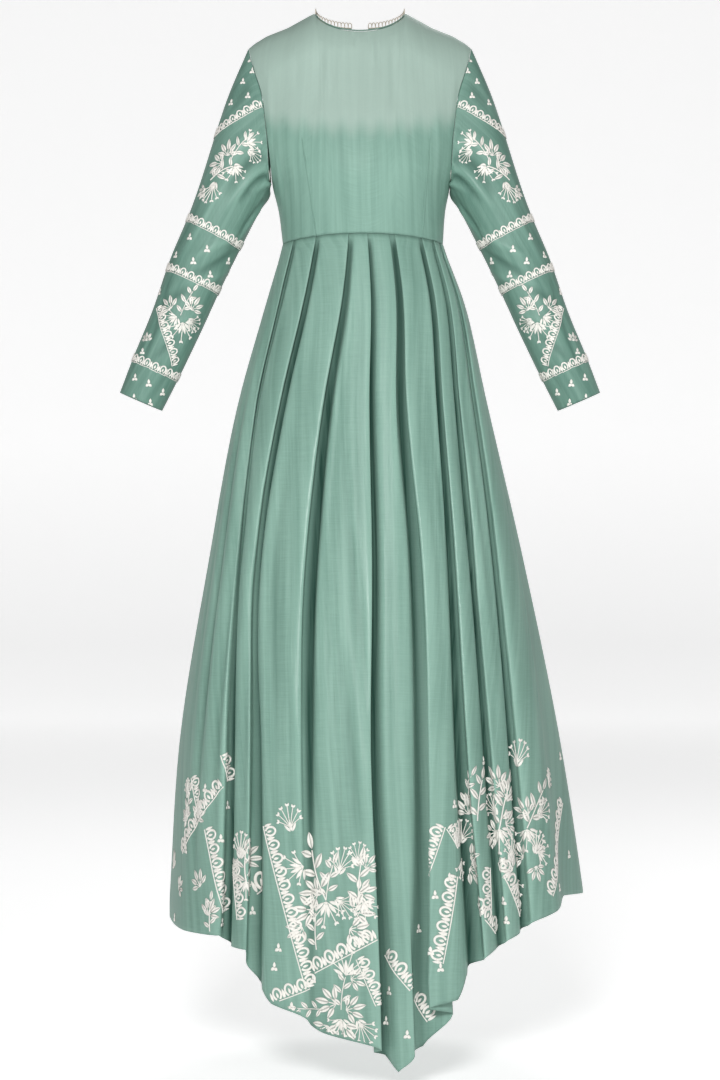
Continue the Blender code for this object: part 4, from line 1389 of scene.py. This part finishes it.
HEM_WORK_BEHIND = {
    "twig": (
        (0.170, 1.290, 10, 1.30), (0.070, 1.300, -8, 1.30), (0.000, 1.330, 6, 1.40),
        (-0.080, 1.275, 10, 1.30), (-0.165, 1.255, -8, 1.25), (0.262, 1.230, -4, 1.10),
    ),
    "bloom": (
        (0.176, 1.225, 8, 1.00), (0.066, 1.235, -8, 1.00), (0.004, 1.255, 6, 1.05),
        (-0.078, 1.210, 10, 1.00), (-0.168, 1.190, -8, 1.00),
    ),
    "cluster": (
        (0.160, 1.270, -70, 1.10), (0.180, 1.280, 75, 1.10), (0.060, 1.285, -75, 1.10),
        (0.080, 1.290, 70, 1.10), (-0.014, 1.315, -75, 1.15), (0.012, 1.315, 75, 1.15),
        (0.000, 1.400, 180, 1.00), (-0.092, 1.265, -75, 1.10), (-0.070, 1.262, 75, 1.10),
        (-0.176, 1.245, -75, 1.05), (-0.156, 1.245, 75, 1.05), (0.256, 1.215, -70, 0.95),
        (0.268, 1.215, 70, 0.95),
    ),
    "burst": (
        (0.168, 1.296, 175, 1.10), (0.070, 1.306, 180, 1.10), (0.000, 1.338, 180, 1.15),
        (-0.080, 1.282, 180, 1.10), (-0.165, 1.262, 180, 1.05),
    ),
    "bud": (
        (0.215, 1.230), (0.235, 1.310), (0.130, 1.245), (0.110, 1.390), (0.150, 1.350), (0.035, 1.250),
        (0.020, 1.420), (-0.030, 1.430), (-0.045, 1.290), (-0.130, 1.215), (-0.150, 1.320), (-0.215, 1.210),
        (-0.235, 1.290), (-0.085, 1.360), (-0.275, 1.190),
    ),
}

# The drops of the cloth's rows under the hem's embroidery.
HEM_ROWS = np.arange(0.95, 1.60, 0.004)[:, None]

for name, first, last, face, bands, motifs in (
    ("hem_front_embroidery", 0, RIGHT_SEAM, -1, HEM_BANDS, HEM_WORK),
    ("hem_back_embroidery", RIGHT_SEAM, LAST_LINE, 1, HEM_BANDS_BEHIND, HEM_WORK_BEHIND),
):
    along = fine_along(first, last)
    hem_points = skirt_creased(skirt_point(along[None, :], HEM_ROWS), HEM_ROWS + 0 * along)
    ground = Ground(hem_points, hem=np.interp(along, np.arange(LAST_LINE + 1), LINE_HEMS))
    work = []
    for out, down, length, turn in bands:
        stitches = placed(row_of_loops(length, HEM_LOOP * LOOP_PITCH), turn if turn > 0 else turn + 180)
        work.append((ground.spot(out, down, face), stitches))
    embroider(name, ground, work + sprigs(ground, motifs, face))

# Neck. A narrow bias piping rolled over the raw edge, and behind it a row of crochet loops in cream
# thread that stands on the back of the neck.

PIPING_RADIUS = 1.1 * MM
PIPING_INSET = PIPING_RADIUS + 0.75 * MM + SEAM_GAP


def neckline(side, inset, turns):
    """Points along the neckline, this far in from the panel's edge."""
    out = (NECK_HALF_WIDTH - inset) * np.sin(turns)
    if side == "back":
        out = out + SLIT_HALF_WIDTH * (1 - np.sin(turns))
    return torso_point(out, neck_drop(turns, side, inset), side)


def cord(name, points, radius, finish, sides=8):
    """A round cord along the points, closed at both ends."""
    forward = unit(np.gradient(points, axis=0))
    across = unit(np.cross(forward, np.array([0.0, 0.0, 1.0])))
    up = np.cross(across, forward)
    angle = np.linspace(0, 2 * math.pi, sides, endpoint=False)
    ring = across[:, None] * np.cos(angle)[None, :, None] + up[:, None] * np.sin(angle)[None, :, None]
    grid = points[:, None] + radius * ring
    corner = np.arange(grid.shape[0] * sides).reshape(-1, sides)
    beside = np.roll(corner, -1, axis=1)
    faces = np.stack([corner[:-1], corner[1:], beside[1:], beside[:-1]], axis=-1).reshape(-1, 4).tolist()
    faces += [corner[0].tolist(), corner[-1][::-1].tolist()]
    return new_piece(name, grid.reshape(-1, 3), faces, finish)


piping_silk = plain_finish(
    "deep sage piping",
    grain=(1400.0, 900.0),
    detail=2.0,
    dark=(0.085, 0.170, 0.135, 1),
    light=(0.150, 0.265, 0.215, 1),
    roughness=0.5,
    depth=0.2 * MM,
)

front_turns = np.linspace(-math.pi / 2, math.pi / 2, 97)[6:-6]
back_turns = np.linspace(math.pi / 2, 0, 49)
front_neck = neckline("front", PIPING_INSET, front_turns)
back_neck = neckline("back", PIPING_INSET, back_turns)
left_neck = (back_neck * MIRROR)[::-1]
neck_run = np.concatenate([left_neck, front_neck, back_neck])
piping = cord("neck_piping_silk", neck_run, PIPING_RADIUS, piping_silk)
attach(piping, "root")
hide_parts("neck_piping")

TRIM_HEIGHT = 8.8 * MM
TRIM_PITCH = 5.4 * MM
TRIM_THREAD = 0.72 * MM
CHAIN_THREAD = 0.8 * MM

crochet = plain_finish(
    "cream crochet thread",
    grain=(2200.0, 2200.0),
    detail=1.0,
    dark=(0.40, 0.35, 0.27, 1),
    light=(0.74, 0.68, 0.57, 1),
    roughness=0.7,
    depth=0.3 * MM,
)

trim_foot = back_neck + np.array([0.0, 0.0, PIPING_RADIUS + TRIM_THREAD])
trim_run = lengths(trim_foot, 0)
loops = round(trim_run[-1] / TRIM_PITCH)
stitch = np.linspace(0, loops, 24 * loops + 1)
# Each loop rises, turns over and comes down again beside where it began.
swing = stitch - 0.10 * np.sin(2 * math.pi * stitch)
rise = np.abs(np.sin(math.pi * stitch)) ** 0.5
place = np.clip(swing / loops, 0, 1) * trim_run[-1]
trim_path = np.stack([np.interp(place, trim_run, trim_foot[:, axis]) for axis in range(3)], axis=1)
trim_path[:, 2] += (TRIM_HEIGHT - TRIM_THREAD) * rise
trim_path[:, 1] += 0.5 * MM * np.sin(math.pi * stitch)
for hand, side in (("right", 1.0), ("left", -1.0)):
    flip = np.array([side, 1.0, 1.0])
    row = cord(f"neck_trim_{hand}_loops", (trim_path * flip)[::int(side)], TRIM_THREAD, crochet, sides=6)
    chain = cord(f"neck_trim_{hand}_chain", (trim_foot * flip)[::int(side)], CHAIN_THREAD, crochet, sides=6)
    for piece in (row, chain):
        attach(piece, "root")
    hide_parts(f"neck_trim_{hand}")

# Studio. A pale floor that curves up into a backdrop, wide soft lights, and the camera level with the
# middle of the gown.

FLOOR_DROP = 1.62
FLOOR_HALF_WIDTH = 12.0

run = np.array([-12.0, -5.0, -1.0, 7.6, 8.2, 8.7, 9.0, 9.1, 9.1])
height = np.array([0.0, 0.0, 0.0, 0.0, 0.06, 0.28, 0.70, 1.3, 6.0]) - FLOOR_DROP
sweep = [(x, y, z) for y, z in zip(run, height) for x in (-FLOOR_HALF_WIDTH, FLOOR_HALF_WIDTH)]
strips = [(i, i + 1, i + 3, i + 2) for i in range(0, len(sweep) - 2, 2)]
paper, paper_shader = new_material("pale studio paper")[:2]
into(paper_shader, "Base Color", (0.80, 0.80, 0.80, 1))
into(paper_shader, "Roughness", 0.9)
into(paper_shader, "Emission Color", (1, 1, 1, 1))
into(paper_shader, "Emission Strength", 0.58)
floor = new_piece("floor", sweep, strips, paper)

world = bpy.data.worlds.new("soft studio air")
bpy.context.scene.world = world
world.use_nodes = True
air = world.node_tree.nodes["Background"]
air.inputs["Color"].default_value = (1.0, 1.0, 1.0, 1)
air.inputs["Strength"].default_value = 0.08


def soft_light(name, place, aim, size, power):
    """A round soft light at one place, turned towards another."""
    light = bpy.data.lights.new(name, "AREA")
    light.shape = "DISK"
    light.size = size
    light.energy = power
    lamp = bpy.data.objects.new(name, light)
    lamp.location = place
    direction = np.array(aim) - np.array(place)
    flat = math.hypot(direction[0], direction[1])
    lamp.rotation_euler = (math.atan2(flat, -direction[2]), 0, math.atan2(-direction[0], direction[1]))
    bpy.context.scene.collection.objects.link(lamp)


soft_light("key", (-0.35, -4.2, 0.7), (0.0, 0.0, -0.75), 1.0, 149)
soft_light("fill", (2.4, -3.2, -0.2), (0.0, 0.0, -0.9), 1.4, 18)
soft_light("back light", (0.5, 2.6, 2.0), (0.0, 0.0, -0.6), 2.0, 40)

lens = bpy.data.cameras.new("camera")
lens.sensor_width = 36
lens.lens = 86.0
camera = bpy.data.objects.new("camera", lens)
camera.location = (0.0, -4.0, -0.815)
camera.rotation_euler = (math.pi / 2, 0, 0)
bpy.context.scene.collection.objects.link(camera)
bpy.context.scene.camera = camera
bpy.context.scene.view_settings.view_transform = "Standard"
